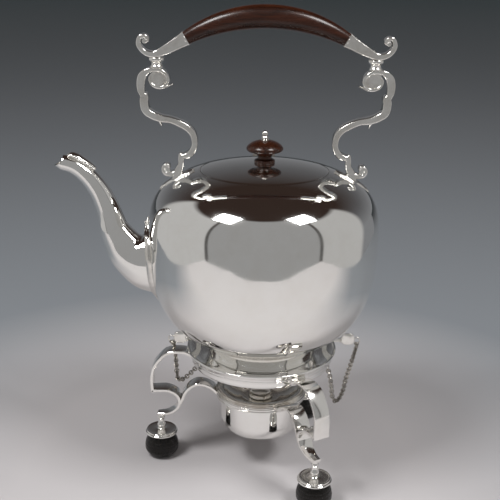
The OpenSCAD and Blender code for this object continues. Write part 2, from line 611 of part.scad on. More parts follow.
// Chains: round links, each turned a quarter from the last, along a hanging curve
eye_angle = 35;
eye_ring_r = ring_r - 5.2;
eye_x = eye_ring_r * cos(eye_angle);
eye_y = eye_ring_r * sin(eye_angle);
eye_loop_r = 2.2;
eye_wire = 0.6;
eye_z = ring_bottom_z - 1.2;
eye_hang_z = eye_z - eye_loop_r - eye_wire - link_r - link_wire - 0.15;
loop_hang_z = pin_z - loop_r - 0.62;
chain_left_route = [[-loop_x, 0, loop_hang_z], [-68.8, 2.8, 89.3], [-68.2, 6.6, 88.5],
  [-67.6, 9.4, 84.5], [-67, 10, 76], [-66.4, 10.2, 66], [-65.6, 10.6, 55.5], [-63, 13.5, 52.6],
  [-57, 18, 55], [-48, 25, 63], [-eye_x, eye_y, eye_hang_z]];
chain_right_route = [[loop_x + right_pin_out, 0, loop_hang_z],
  [loop_x + right_pin_out, 1.6, loop_hang_z - 3.6], [71, 7, 74], [67.4, 11.5, 56],
  [66, 13.5, 45.5], [63.6, 15.6, 37], [60.8, 18, 32.8], [58.2, 19.8, 36], [57.2, 20.6, 44],
  [55.4, 22, 54], [51.5, 25, 64], [eye_x, eye_y, eye_hang_z]];
function spans(p) = [for (i = [0:len(p) - 2]) norm(p[i + 1] - p[i])];
function sums(v) = [for (a = 0, i = 0; i <= len(v); a = a + (i < len(v) ? v[i] : 0), i = i + 1) a];
function along(p, s, d) = let (i = min(len(p) - 2, max([for (k = [0:len(s) - 1]) s[k] <= d ? k : 0])))
  [p[i] + (p[i + 1] - p[i]) * (d - s[i]) / (s[i + 1] - s[i]), p[i + 1] - p[i]];
module chain(route) {
  p = curve(route, 8);
  s = sums(spans(p));
  count = floor(s[len(s) - 1] / link_pitch);
  for (i = [0:count]) {
    here = along(p, s, i * s[len(s) - 1] / count);
    d = unit(here[1]);
    translate(here[0]) rotate([0, acos(d[2]), atan2(d[1], d[0])]) rotate([0, 0, i % 2 * 90])
      rotate([90, 0, 0]) rotate_extrude($fn = 32) translate([link_r, 0]) circle(r = link_wire, $fn = 16);
  }
}
module chain_left() about_axis() color(silver) chain(chain_left_route);
module chain_right() about_axis() color(silver) chain(chain_right_route);

// Small eye on the underside of the ring for the end of each chain
module chain_eye() difference() {
  translate([eye_x, eye_y, eye_z]) rotate([90, 0, eye_angle]) rotate_extrude($fn = 32)
    translate([eye_loop_r, 0]) circle(r = eye_wire, $fn = 20);
  stand_ring_body();
}
module chain_eye_right() about_axis() color(silver) chain_eye();
module chain_eye_left() about_axis() color(silver) mirror([1, 0, 0]) chain_eye();

// Leg: two lengths of strap that meet at a sharp outer corner
half_t = strap_t / 2;
half_w = strap_w / 2;
leg_upper = [[52.8, 81.4, half_t, half_w], [57.7, 84.2, half_t, half_w], [62.4, 84.9, half_t, half_w],
  [68.2, 84.7, half_t, half_w], [73.6, 82.7, half_t, half_w], [78.3, 78.1, half_t, half_w],
  [81.9, 72.9, half_t, half_w], [83.8, 67.7, half_t, half_w], [84.5, 61.8, half_t, half_w],
  [84.3, 56.6, half_t, half_w], [83.9, 51.7, half_t, half_w]];
leg_lower = [[85.05, 51.9, half_t, half_w], [78.2, 52.4, half_t, half_w], [72.8, 52.3, half_t, half_w],
  [68.1, 50.5, half_t, half_w], [64.6, 47.6, half_t, half_w], [63.2, 43.7, half_t, half_w],
  [63.5, 39.7, half_t, half_w * 0.96], [65.9, 35.6, half_t, half_w * 0.86],
  [69.6, 32.6, half_t, half_w * 0.76], [73.8, 31, half_t, half_w * 0.66],
  [foot_r + 2.4, strap_end_z, half_t, half_w * 0.5]];
brace_path = [[62.4, 41.5, half_t, half_w], [60.5, 45.9, half_t, half_w], [58.7, 50.3, half_t, half_w],
  [55.6, 54.1, half_t, half_w], [52, 56.7, half_t, half_w], [48.5, 57.9, half_t, half_w],
  [43.2, 57.2, half_t, half_w], [39.2, 55.4, half_t, half_w], [36.6, 53.3, half_t, half_w],
  [34.2, 50.6, half_t, half_w]];
module leg(i) at_leg(i) difference() {
  union() {
    swept(curve(leg_upper, 2), 12, 0.35);
    swept(curve(leg_lower, 2), 12, 0.35);
  }
  ring_envelope();
  stand_ring_body();
}
// Everything inside the ring's outer face, cut from whatever is soldered to it
module ring_envelope() translate([0, 0, ring_bottom_z - 4])
  turned([[0, 0], [ring_r - 3.6, 0], [ring_r - 3.6, 4.6], [ring_r - 2.6, 12.4], [ring_r, 14.6],
    [ring_r, 30], [0, 30]]);
module brace(i) at_leg(i) difference() {
  swept(curve(brace_path, 2), 12, 0.35);
  swept(curve(leg_lower, 2), 12, 0.35);
  burner_holder_body();
  translate([0, 0, holder_z + holder_h]) cylinder(r = burner_rim_r + rim_gap, h = 2 * rim_h);
}
module leg_left() about_axis() color(silver) leg(0);
module leg_front() about_axis() color(silver) leg(1);
module leg_rear() about_axis() color(silver) leg(2);
module brace_left() about_axis() color(silver) brace(0);
module brace_front() about_axis() color(silver) brace(1);
module brace_rear() about_axis() color(silver) brace(2);

// Feet are drawn from the floor up
module at_foot(i) at_leg(i) translate([foot_r, 0, -base_z]) children();
cap_top = strap_end_z - half_t + base_z;
// Two mouldings round a shallow dish, and a baluster that carries the strap
module foot_cap(i) about_axis() color(silver) at_foot(i) difference() {
  turned([[0, bun_h], [cap_rim_r - 0.5, bun_h], [cap_rim_r, bun_h + 0.4], [cap_rim_r, bun_h + 1.1],
    [cap_rim_r - 0.6, bun_h + 1.6], [cap_rim_r - 1.1, bun_h + 1.8], [cap_rim_r - 0.8, bun_h + 2.2],
    [cap_rim_r - 1, bun_h + 2.8], [cap_rim_r - 1.7, bun_h + 3.1], [cap_rim_r - 2.3, bun_h + 2.8],
    [7, bun_h + 2.6], [3.6, bun_h + 2.9], [2.5, bun_h + 3.8], [2.9, bun_h + 4.6], [3.4, bun_h + 5.8],
    [3.3, bun_h + 7], [2.7, bun_h + 8.2], [2.2, bun_h + 9.6], [1.9, bun_h + 11.4], [2.5, bun_h + 12],
    [2.9, bun_h + 12.9], [2.6, bun_h + 13.7], [2.1, bun_h + 14.3], [2.2, cap_top], [0, cap_top]]);
  translate([0, 0, bun_h - past]) cylinder(r = foot_screw_r, h = 7, $fn = 32);
}
module foot_cap_left() foot_cap(0);
module foot_cap_front() foot_cap(1);
module foot_cap_rear() foot_cap(2);

// Black bun with fine turned lines, widest a little below its middle
bun_mid = bun_h * 0.425;
function bun_radius(z) = z < bun_mid ? bun_r * pow(1 - pow((bun_mid - z) / (bun_mid * 1.06), 2.4), 1 / 2.4)
  : bun_r * sqrt(1 - pow((z - bun_mid) / (bun_h * 0.74), 2));
bun_lines = 6;
module bun(i) about_axis() color(ebony) at_foot(i) difference() {
  turned(concat([[0, 0]], [for (k = [0:bun_lines * 3]) let (z = bun_h * k / (bun_lines * 3))
    [bun_radius(z) - (k % 3 == 1 ? 0.18 : 0), z]], [[0, bun_h]]));
  translate([0, 0, -past]) cylinder(r = foot_screw_r, h = bun_h + 2 * past, $fn = 32);
  translate([0, 0, -past]) cylinder(r = screw_head_r, h = past + 2.2, $fn = 32);
}
module bun_left() bun(0);
module bun_front() bun(1);
module bun_rear() bun(2);

screw_head_r = foot_screw_r + 1.3;
module foot_screws() about_axis() color(silver) for (i = [0:2]) at_foot(i) {
  difference() {
    union() {
      translate([0, 0, 0.7]) cylinder(r = screw_head_r, h = 1.5, $fn = 32);
      translate([0, 0, 1.5]) cylinder(r = foot_screw_r, h = bun_h + 3.5, $fn = 32);
    }
    translate([-screw_head_r - past, -0.4, 0.2]) cube([2 * screw_head_r + 2 * past, 0.8, 1.1]);
  }
}

module burner_holder() about_axis() color(silver) burner_holder_body();
module burner_holder_body() turned([[holder_bore_r, holder_z], [burner_rim_r - 1, holder_z],
  [burner_rim_r + 0.1, holder_z + 0.5], [burner_rim_r + 0.1, holder_z + 1.3],
  [burner_rim_r - 0.4, holder_z + 1.7], [burner_rim_r + 0.3, holder_z + 2.2],
  [burner_rim_r + 0.3, holder_z + 3.3], [burner_rim_r - 0.4, holder_z + 3.7],
  [burner_rim_r, holder_z + 4.1], [burner_rim_r, holder_z + holder_h],
  [holder_bore_r, holder_z + holder_h]]);

// ---- Burner ----

bowl_round = 13;
module burner_bowl() about_axis() color(silver) turned(concat([[0, burner_z]],
  [for (k = [0:8]) let (a = 90 * k / 8)
    [burner_r - bowl_round + bowl_round * sin(a), burner_z + bowl_round * (1 - cos(a))]],
  [[burner_r, rim_z + 0.6], [burner_r - burner_wall, rim_z + 0.6]],
  [for (k = [8:-1:0]) let (a = 90 * k / 8, r = bowl_round - burner_wall)
    [burner_r - bowl_round + r * sin(a), burner_z + bowl_round - r * cos(a)]],
  [[0, burner_z + burner_wall]]));

module burner_rim() about_axis() color(silver) turned([[burner_r, rim_z], [burner_rim_r - 0.3, rim_z],
  [burner_rim_r, rim_z + 0.5], [burner_rim_r - 0.1, rim_z + 1.1], [burner_rim_r - 0.7, rim_z + 1.4],
  [burner_rim_r - 0.5, rim_z + 2], [burner_rim_r - 1, rim_z + 2.6], [burner_rim_r - 1.7, rim_z + rim_h],
  [burner_r - 1.2, rim_z + rim_h - 0.5], [burner_r - 2, rim_z + 1.2], [burner_r - 1.8, rim_z + 0.6],
  [burner_r, rim_z + 0.6]]);

plate_z = rim_z - 6.9;
plate_th = 0.9;
function dish(t) = [[burner_r - 2.1, rim_z + 1.2 + t], [burner_r - 7, plate_z + 4.8 + t],
  [burner_r - 14, plate_z + 1.8 + t], [snuffer_r + 4, plate_z + 0.5 + t], [wick_tube_r, plate_z + t]];
module burner_plate() about_axis() color(silver) turned(concat(dish(0), reversed(dish(-plate_th))));
module wick_tube() about_axis() color(silver) difference() {
  translate([0, 0, plate_z - 8]) cylinder(r = wick_tube_r, h = 11.4);
  translate([0, 0, plate_z - 9]) cylinder(r = wick_tube_r - 0.8, h = 14);
}
module wick() about_axis() color(cotton) translate([0, 0, burner_z + burner_wall + 2])
  cylinder(r = wick_tube_r - 0.8, h = plate_z + 4.2 - burner_z - burner_wall - 2);
snuffer_h = 6.6;
module snuffer_cap() about_axis() color(silver) turned([[snuffer_r - 1, plate_z + 0.5], [snuffer_r, plate_z + 0.5],
  [snuffer_r, plate_z + 1.7], [snuffer_r - 0.4, plate_z + 2.1],
  [snuffer_r - 0.4, plate_z + snuffer_h - 1], [snuffer_r - 1.2, plate_z + snuffer_h - 0.2],
  [4, plate_z + snuffer_h + 0.3], [0, plate_z + snuffer_h + 0.4], [0, plate_z + snuffer_h - 0.8],
  [snuffer_r - 2, plate_z + snuffer_h - 1.3], [snuffer_r - 1.4, plate_z + snuffer_h - 2]]);

kettle_bowl();
lid_seat();
foot_collar();
collar_moulding();
spout();
spout_hood();
spout_plate();
hinge_leaves();
hinge_pin();
lid();
lid_knuckle();
finial_neck();
finial_cap();
finial_tip();
finial_nut();
grip();
socket_left();
socket_right();
grip_rivets();
spool_left();
spool_right();
arm_left();
arm_right();
handle_foot_left();
handle_foot_right();
stand_ring();
pin_boss_left();
pin_boss_right();
pin_left();
pin_right();
chain_left();
chain_right();
chain_eye_left();
chain_eye_right();
leg_left();
leg_front();
leg_rear();
brace_left();
brace_front();
brace_rear();
foot_cap_left();
foot_cap_front();
foot_cap_rear();
bun_left();
bun_front();
bun_rear();
foot_screws();
burner_holder();
burner_bowl();
burner_rim();
burner_plate();
wick_tube();
wick();
snuffer_cap();
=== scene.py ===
# %% [markdown]
# # A spirit kettle on its stand
#
# This lesson dresses a silver spirit kettle: a round polished bowl with a swan-neck spout and a
# fixed scroll handle, standing in a ring on three strap legs over a small spirit burner. The
# measured solids come first, as a fixed frame. Everything after that is surface: finer meshes
# where polished metal would show flat facets, and materials for silver, wood and cotton.

# %% Load the measured frame
import math

import bmesh
import bpy
import numpy as np
from mathutils import Matrix, Vector


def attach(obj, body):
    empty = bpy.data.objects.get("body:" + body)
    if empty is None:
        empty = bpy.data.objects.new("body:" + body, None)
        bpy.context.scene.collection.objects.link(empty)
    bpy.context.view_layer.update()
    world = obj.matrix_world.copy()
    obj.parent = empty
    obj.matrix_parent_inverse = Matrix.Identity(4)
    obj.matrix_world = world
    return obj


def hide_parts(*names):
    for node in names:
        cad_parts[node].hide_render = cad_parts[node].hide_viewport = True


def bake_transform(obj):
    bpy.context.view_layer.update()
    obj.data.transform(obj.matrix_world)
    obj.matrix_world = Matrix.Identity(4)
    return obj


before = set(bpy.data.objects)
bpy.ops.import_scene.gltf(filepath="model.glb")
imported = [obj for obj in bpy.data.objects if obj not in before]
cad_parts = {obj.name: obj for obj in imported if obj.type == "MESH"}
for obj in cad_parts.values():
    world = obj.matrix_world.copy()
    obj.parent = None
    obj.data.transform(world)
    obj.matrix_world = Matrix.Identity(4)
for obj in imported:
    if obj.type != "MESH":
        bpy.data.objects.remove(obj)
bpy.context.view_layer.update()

# %% [markdown]
# ## The camera
#
# The photograph was taken from close by, so what is near the lens looks clearly bigger. The
# ellipses of the lid, the stand's ring and the burner's rim give the height of the lens and its
# tilt, and the way they shrink with distance gives the focal length. The camera looks straight
# along Y, tipped down, and it leans over very slightly to one side.

# %% Camera
MM = 0.001
AXIS_X = 30.573  # the kettle's upright axis stands this far along X, in millimetres
BASE_Z = 5.6  # heights are drawn from a plane this far above the floor, in millimetres


def in_scene(name, data):
    """A new object for data, linked to the scene."""
    thing = bpy.data.objects.new(name, data)
    bpy.context.scene.collection.objects.link(thing)
    return thing


def camera_at(place, pitch, lean, lens):
    """A camera at place in metres, looking along Y, tipped down by pitch and leaning by lean degrees."""
    data = bpy.data.cameras.new("photo_camera")
    data.lens = lens
    data.sensor_width = 36
    data.clip_start = 0.01
    camera = in_scene("photo_camera", data)
    turn = Matrix.Rotation(math.radians(90 - pitch), 4, "X") @ Matrix.Rotation(math.radians(lean), 4, "Z")
    camera.matrix_world = Matrix.Translation(place) @ turn
    bpy.context.scene.camera = camera
    return camera


camera = camera_at((0.02087, -0.6476, 0.3874), pitch=18.4, lean=0.72, lens=66.2)
print("camera at", tuple(round(v, 4) for v in camera.matrix_world.translation))

# %% [markdown]
# ## Small tools for building meshes
#
# Every piece starts as a plain pair: an array of points in millimetres about the kettle's axis,
# and a list of faces. Turned pieces come from an outline spun about an axis, as on a lathe or a
# silversmith's spinning chuck. Bent straps and cast scrolls come from a section pushed along a
# path. Pairs are easy to mirror, turn and add together before Blender sees them, and only
# the last step makes an object, with its place in its mesh.

# %% Curves and outlines
def smooth_path(points, steps):
    """A smooth curve through the rows of points, with steps between each two."""
    p = np.array(points, float)
    padded = np.vstack([p[0], p, p[-1]])
    rows = []
    for i in range(len(p) - 1):
        a, b, c, d = padded[i : i + 4]
        for t in np.arange(steps) / steps:
            squared, cubed = 2 * a - 5 * b + 4 * c - d, 3 * b - a - 3 * c + d
            rows.append(0.5 * (2 * b + (c - a) * t + squared * t**2 + cubed * t**3))
    return np.array(rows + [p[-1]])


def soften(outline, reach, steps=4, least=15, closed=True):
    """Rounds the corners of an outline of (radius, height) rows, by up to reach along each edge."""
    p = [np.array(q, float) for q in outline]
    out = []
    for i, q in enumerate(p):
        before, after = p[i - 1], p[(i + 1) % len(p)]
        u, v = before - q, after - q
        a, b = np.linalg.norm(u), np.linalg.norm(v)
        bend = 180 - math.degrees(math.acos(np.clip(u @ v / max(a * b, 1e-9), -1, 1)))
        ends = not closed and i in (0, len(p) - 1)
        if bend < least or ends or q[0] < 1e-6:
            out.append(q)
            continue
        r = min(reach, 0.48 * a, 0.48 * b)
        start, end = q + u / a * r, q + v / b * r
        for t in np.arange(steps + 1) / steps:
            out.append((1 - t) ** 2 * start + 2 * t * (1 - t) * q + t**2 * end)
    return np.array(out)


print("a right angle of 3 points softens to", len(soften([(0, 0), (4, 0), (4, 4)], 1)), "points")

# %% Turned pieces
def turned(outline, steps=144):
    """A closed outline of (radius, height) rows spun about the Z axis."""
    angles = np.arange(steps) * 2 * math.pi / steps
    points, rows = [], []
    for r, z in outline:
        if r < 1e-6:
            rows.append([len(points)])
            points.append((0, 0, z))
        else:
            rows.append(list(range(len(points), len(points) + steps)))
            points += [(r * math.cos(a), r * math.sin(a), z) for a in angles]
    faces = []
    for low, high in zip(rows, rows[1:] + rows[:1]):
        for k in range(steps):
            j = (k + 1) % steps
            corners = [low[k % len(low)], low[j % len(low)], high[j % len(high)], high[k % len(high)]]
            corners = list(dict.fromkeys(corners))
            if len(corners) > 2:
                faces.append(corners)
    return np.array(points, float), faces


def cast_section(power, sides=28, shift=0.5):
    """A rounded section for cast scrolls: power 1 is an ellipse, lower is squarer; shift turns its points."""
    a = (np.arange(sides) + shift) * 2 * math.pi / sides
    return np.stack([np.sign(wave) * abs(wave) ** power for wave in (np.cos(a), np.sin(a))], 1)


def swept(path, section, first=None, last=None):
    """A section pushed along rows of (x, z, half across, half deep) that lie in the XZ plane."""
    path = np.array(path, float)
    along = np.gradient(path[:, :2], axis=0)
    across = np.stack([-along[:, 1], along[:, 0]], 1)
    across /= np.linalg.norm(across, axis=1)[:, None]
    if first is not None:
        across[0] = np.array(first) / np.linalg.norm(first)
    if last is not None:
        across[-1] = np.array(last) / np.linalg.norm(last)
    points = []
    for (x, z, half_across, half_deep), n in zip(path, across):
        cut = section(half_across, half_deep) if callable(section) else section * (half_across, half_deep)
        points += [(x + n[0] * u, v, z + n[1] * u) for u, v in cut]
    m = len(points) // len(path)
    faces = [list(range(m)), list(range((len(path) - 1) * m, len(path) * m))[::-1]]
    for i in range(len(path) - 1):
        for k in range(m):
            j = (k + 1) % m
            faces.append([i * m + k, (i + 1) * m + k, (i + 1) * m + j, i * m + j])
    return np.array(points, float), faces


def strap_section(half_thick, half_wide, corner=0.55, steps=3):
    """The section of a flat strap with filed edges."""
    corner = min(corner, half_thick * 0.9, half_wide * 0.9)
    out = []
    for q, (su, sv) in enumerate([(1, 1), (-1, 1), (-1, -1), (1, -1)]):
        for t in np.arange(steps + 1) / steps:
            a = math.radians(90 * (q + t))
            out.append((su * (half_thick - corner) + corner * math.cos(a),
                        sv * (half_wide - corner) + corner * math.sin(a)))
    return np.array(out)


def cast_flat(half_across, half_deep):
    """The section of a casting with flat filed faces and narrow bevels."""
    return strap_section(half_across, half_deep, 0.85)


# %% Placing and joining
def moved(part, x=0, y=0, z=0):
    return part[0] + (x, y, z), part[1]


def rotated(part, angle, axis="Z"):
    """part turned about an axis through the origin, in degrees."""
    m = np.array(Matrix.Rotation(math.radians(angle), 3, axis))
    return part[0] @ m.T, part[1]


def mirrored(part):
    """part on the other side of the kettle, its faces turned round so that they still point out."""
    return part[0] * (-1, 1, 1), [f[::-1] for f in part[1]]


def raised(z, outline):
    """An outline of (radius, height) rows whose heights are counted from z."""
    return [(r, z + h) for r, h in outline]


def button(x, z, r, half_deep, soft):
    """A turned button across a scroll, with its axis along Y."""
    outline = soften([(0, -half_deep), (r, -half_deep), (r, half_deep), (0, half_deep)], soft)
    return moved(rotated(turned(outline, 48), 90, "X"), x, 0, z)


def piece(name, *parts, sharp=40):
    """One object from several point and face pairs, smooth except along edges sharper than sharp degrees."""
    points, faces, start = [], [], 0
    for part_points, part_faces in parts:
        points.append(part_points)
        faces += [[i + start for i in f] for f in part_faces]
        start += len(part_points)
    points = (np.vstack(points) + (AXIS_X, 0, BASE_Z)) * MM
    mesh = bpy.data.meshes.new(name)
    mesh.from_pydata(points.tolist(), [], faces)
    return finished(name, mesh, sharp)


def finished(name, mesh, sharp=40):
    """An object for mesh with its doubles merged, its faces pointing out and its sharp edges marked."""
    shape = bmesh.new()
    shape.from_mesh(mesh)
    bmesh.ops.remove_doubles(shape, verts=shape.verts, dist=1e-7)
    bmesh.ops.recalc_face_normals(shape, faces=shape.faces)
    shape.to_mesh(mesh)
    shape.free()
    mesh.shade_smooth()
    mesh.set_sharp_from_angle(angle=math.radians(sharp))
    return in_scene(name, mesh)


def dress(thing, finish, body, *nodes, slot="silver"):
    """Gives a piece its finish, the body it rides on and the solids it stands for."""
    thing.data.materials.clear()
    thing.data.materials.append(finish)
    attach(thing, body)
    if nodes:
        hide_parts(*nodes)
    print(f"{thing.name}: {len(thing.data.polygons)} faces on {body}")
    return thing


def lathe(name, outline, soft, steps, finish, body, node, slot="silver"):
    """Dresses a piece turned about the kettle's axis; none of its corners rounds by more than soft."""
    return dress(piece(name, turned(soften(outline, soft), steps)), finish, body, node, slot=slot)


def sheet_on(top, under, rows, columns):
    """A thin sheet with these top and under points, in rows, closed all round its edge."""
    n = rows * columns
    faces = []
    for i in range(rows - 1):
        for k in range(columns - 1):
            a = i * columns + k
            faces.append([a, a + 1, a + columns + 1, a + columns])
            faces.append([n + a, n + a + columns, n + a + columns + 1, n + a + 1])
    right = [i * columns + columns - 1 for i in range(1, rows)]
    back = [(rows - 1) * columns + k for k in range(columns - 2, -1, -1)]
    left = [i * columns for i in range(rows - 2, 0, -1)]
    edge = list(range(columns)) + right + back + left
    return np.array(top + under), faces + [[a, n + a, n + b, b] for a, b in zip(edge, edge[1:] + edge[:1])]


# %% [markdown]
# ## Finishes
#
# Polished silver has almost no colour of its own: what the eye sees is the room. So the finish is
# a mirror whose roughness changes a little over the surface, with the faint swirls of years of
# polishing cloths and a warm film where the cloth doesn't reach. Both effects are used by several
# materials, so they are shader node groups, built once, that put out only colours, masks and
# heights. The shader itself stays in each material.

# %% Tools for nodes
def new_node(tree, kind, sockets=(), **settings):
    """A node with its settings; each of its sockets takes a plain value or another node's output."""
    node = tree.nodes.new(kind)
    for key, value in settings.items():
        setattr(node, key, value)
    for socket, value in dict(sockets).items():
        target = node.inputs[socket]
        if isinstance(value, bpy.types.NodeSocket):
            tree.links.new(value, target)
        else:
            target.default_value = value
    return node


def add_sockets(tree, direction, sockets):
    """Named sockets on a group: each is (name, kind, value)."""
    for label, kind, value in sockets:
        made = tree.interface.new_socket(label, in_out=direction, socket_type="NodeSocket" + kind)
        if value is not None:
            made.default_value = value


def skin_group(name, inputs):
    """A shader group that turns a place on the surface into a colour, a roughness and a height."""
    tree = bpy.data.node_groups.new(name, "ShaderNodeTree")
    add_sockets(tree, "INPUT", [("Vector", "Vector", None)] + inputs)
    outputs = [("Colour", "Color", None), ("Roughness", "Float", None), ("Height", "Float", None)]
    add_sockets(tree, "OUTPUT", outputs)
    return tree, tree.nodes.new("NodeGroupInput").outputs, tree.nodes.new("NodeGroupOutput").inputs


def noise(tree, vector, scale, detail=3, rough=0.5, twist=0.0):
    return new_node(tree, "ShaderNodeTexNoise", {"Vector": vector, "Scale": scale, "Detail": detail,
                                                 "Roughness": rough, "Distortion": twist}).outputs["Fac"]


def stretched(tree, vector, scale, turn=(0, 0, 0)):
    sockets = {"Vector": vector, "Scale": scale, "Rotation": turn}
    return new_node(tree, "ShaderNodeMapping", sockets).outputs["Vector"]


def ranged(tree, value, low, high):
    """0 where value is low, 1 where it is high, and a straight slope between them."""
    sockets = {"Value": value, "From Min": low, "From Max": high}
    return new_node(tree, "ShaderNodeMapRange", sockets).outputs["Result"]


def maths(tree, operation, a, b=0.0):
    """One step of arithmetic on sockets or plain numbers."""
    return new_node(tree, "ShaderNodeMath", {0: a, 1: b}, operation=operation).outputs["Value"]


def mixed(tree, share, a, b):
    """Colour a where share is 0, b where it is 1; a and b are sockets or colours."""
    first, second = [(*c, 1) if isinstance(c, tuple) else c for c in (a, b)]
    return new_node(tree, "ShaderNodeMix", {"Factor": share, 6: first, 7: second}, data_type="RGBA").outputs[2]


def split(tree, kind, output):
    """The x, y and z of one output of a coordinate node, as sockets."""
    place = new_node(tree, kind).outputs[output]
    return new_node(tree, "ShaderNodeSeparateXYZ", {0: place}).outputs


# %% The skin of polished metal
def polish_group():
    """Soft smudges, hairlines from polishing, and a thin tarnish that gathers in patches."""
    tree, given, wanted = skin_group("polished_skin", [
        ("Clean", "Color", (0.93, 0.915, 0.885, 1)), ("Tarnish colour", "Color", (0.5, 0.4, 0.27, 1)),
        ("Tarnish", "Float", 0.1), ("Gloss low", "Float", 0.05), ("Gloss high", "Float", 0.13)])
    place = given["Vector"]
    smudge = noise(tree, place, 26, 4, 0.6, 0.4)
    patch = noise(tree, place, 70, 5, 0.65)
    hair_a = noise(tree, stretched(tree, place, (60, 900, 2200), (0.3, 0.2, 0.5)), 1, 2, 0.7)
    hair_b = noise(tree, stretched(tree, place, (1700, 80, 1100), (0.1, 0.7, 0.2)), 1, 2, 0.7)
    hairs = maths(tree, "MAXIMUM", ranged(tree, hair_a, 0.66, 0.8), ranged(tree, hair_b, 0.66, 0.8))
    film = maths(tree, "MULTIPLY", ranged(tree, patch, 0.42, 0.78), given["Tarnish"])
    tree.links.new(mixed(tree, film, given["Clean"], given["Tarnish colour"]), wanted["Colour"])
    spread = maths(tree, "SUBTRACT", given["Gloss high"], given["Gloss low"])
    rough = maths(tree, "MULTIPLY", ranged(tree, smudge, 0.3, 0.7), spread)
    rough = maths(tree, "ADD", rough, given["Gloss low"])
    rough = maths(tree, "ADD", rough, maths(tree, "MULTIPLY", hairs, 0.05))
    tree.links.new(maths(tree, "ADD", rough, maths(tree, "MULTIPLY", film, 0.25)), wanted["Roughness"])
    relief = maths(tree, "ADD", maths(tree, "MULTIPLY", smudge, 0.4), maths(tree, "MULTIPLY", hairs, -0.12))
    tree.links.new(relief, wanted["Height"])
    return tree


POLISH = polish_group()


def new_material(name, values):
    """A material with these values on its main shader, then its tree, that shader and each point's place."""
    made = bpy.data.materials.new(name)
    made.use_nodes = True
    tree = made.node_tree
    shader = tree.nodes["Principled BSDF"]
    for socket, value in values.items():
        shader.inputs[socket].default_value = value
    return made, tree, shader, new_node(tree, "ShaderNodeTexCoord").outputs["Object"]


def skinned(name, group, look, values, bump, stretch=None):
    """A material that takes its skin from a group; bump is the relief's strength and its depth in metres."""
    made, tree, shader, place = new_material(name, values)
    if stretch:
        place = stretched(tree, place, stretch)
    skin = new_node(tree, "ShaderNodeGroup", {"Vector": place, **look}, node_tree=group).outputs
    sockets = {"Strength": bump[0], "Distance": bump[1], "Height": skin["Height"]}
    relief = new_node(tree, "ShaderNodeBump", sockets)
    tree.links.new(skin["Colour"], shader.inputs["Base Color"])
    tree.links.new(skin["Roughness"], shader.inputs["Roughness"])
    tree.links.new(relief.outputs["Normal"], shader.inputs["Normal"])
    return made


def metal(name, clean, tarnish_colour, tarnish, gloss, depth=0.00006):
    """A polished metal with its clean and tarnished colours and the range of its roughness."""
    look = {"Clean": (*clean, 1), "Tarnish colour": (*tarnish_colour, 1), "Tarnish": tarnish,
            "Gloss low": gloss[0], "Gloss high": gloss[1]}
    return skinned(name, POLISH, look, {"Metallic": 1.0}, (0.35, depth))


body_silver = metal("polished_silver", (0.935, 0.925, 0.9), (0.55, 0.46, 0.33), 0.1, (0.035, 0.085))
cast_silver = metal("cast_silver", (0.9, 0.885, 0.85), (0.36, 0.29, 0.2), 0.4, (0.08, 0.18))
strap_silver = metal("strap_silver", (0.92, 0.905, 0.875), (0.45, 0.37, 0.26), 0.2, (0.05, 0.13))
burner_silver = metal("burner_silver", (0.88, 0.85, 0.78), (0.25, 0.17, 0.09), 0.6, (0.04, 0.12))
inside_silver = metal("inside_silver", (0.78, 0.75, 0.69), (0.42, 0.34, 0.24), 0.6, (0.26, 0.42), 0.00012)
chain_silver = metal("chain_silver", (0.6, 0.57, 0.52), (0.02, 0.016, 0.012), 0.95, (0.1, 0.2))
print("metals:", [m.name for m in bpy.data.materials if "silver" in m.name])

# %% [markdown]
# ## Wood, ebonised wood and cotton
#
# The grip and the knob on the lid are turned from a dense reddish hardwood, oiled and
# rubbed to a shine, so that the palm doesn't touch hot metal. Its grain is long stretched noise
# that runs with the grip. The bun feet are wood stained black, and the wick is plaited cotton.

# %% The grain of polished hardwood
def grain_group():
    """Long fibres, darker growth bands and short open pores, which run the way that the vector is stretched."""
    tree, given, wanted = skin_group("hardwood_grain", [
        ("Dark", "Color", (0.03, 0.008, 0.004, 1)), ("Light", "Color", (0.26, 0.075, 0.028, 1)),
        ("Bands", "Float", 0.55)])
    place = given["Vector"]
    fibres = noise(tree, place, 7, 4, 0.65, 0.6)
    bands = noise(tree, place, 1.6, 2, 0.5, 1.2)
    pores = ranged(tree, noise(tree, place, 16, 2, 0.8), 0.62, 0.74)
    banded = maths(tree, "MULTIPLY", ranged(tree, bands, 0.3, 0.72), given["Bands"])
    share = maths(tree, "ADD", banded, maths(tree, "MULTIPLY", ranged(tree, fibres, 0.35, 0.75), 0.45))
    colour = mixed(tree, share, given["Dark"], given["Light"])
    dulled = maths(tree, "MULTIPLY", pores, 0.55)
    tree.links.new(mixed(tree, dulled, colour, (0.012, 0.004, 0.002)), wanted["Colour"])
    tree.links.new(maths(tree, "ADD", 0.2, maths(tree, "MULTIPLY", fibres, 0.16)), wanted["Roughness"])
    tree.links.new(maths(tree, "SUBTRACT", maths(tree, "MULTIPLY", fibres, 0.4), pores), wanted["Height"])
    return tree


GRAIN = grain_group()


def hardwood(name, stretch, dark, light, bands, coat):
    """Oiled hardwood with its fibres along the axis that stretch scales least."""
    look = {"Dark": (*dark, 1), "Light": (*light, 1), "Bands": bands}
    oil = {"Specular IOR Level": 0.3, "Coat Weight": coat, "Coat Roughness": 0.08}
    return skinned(name, GRAIN, look, oil, (0.25, 0.0002), stretch)


grip_wood = hardwood("grip_wood", (11, 140, 110), (0.006, 0.0017, 0.0008), (0.055, 0.013, 0.0038), 0.6, 0.18)
knob_wood = hardwood("knob_wood", (170, 150, 16), (0.008, 0.0025, 0.0013), (0.06, 0.016, 0.0055), 0.5, 0.2)
black_wood = hardwood("ebonised_wood", (210, 190, 24), (0.002, 0.0016, 0.0013), (0.008, 0.0055, 0.004),
                      0.5, 0.08)

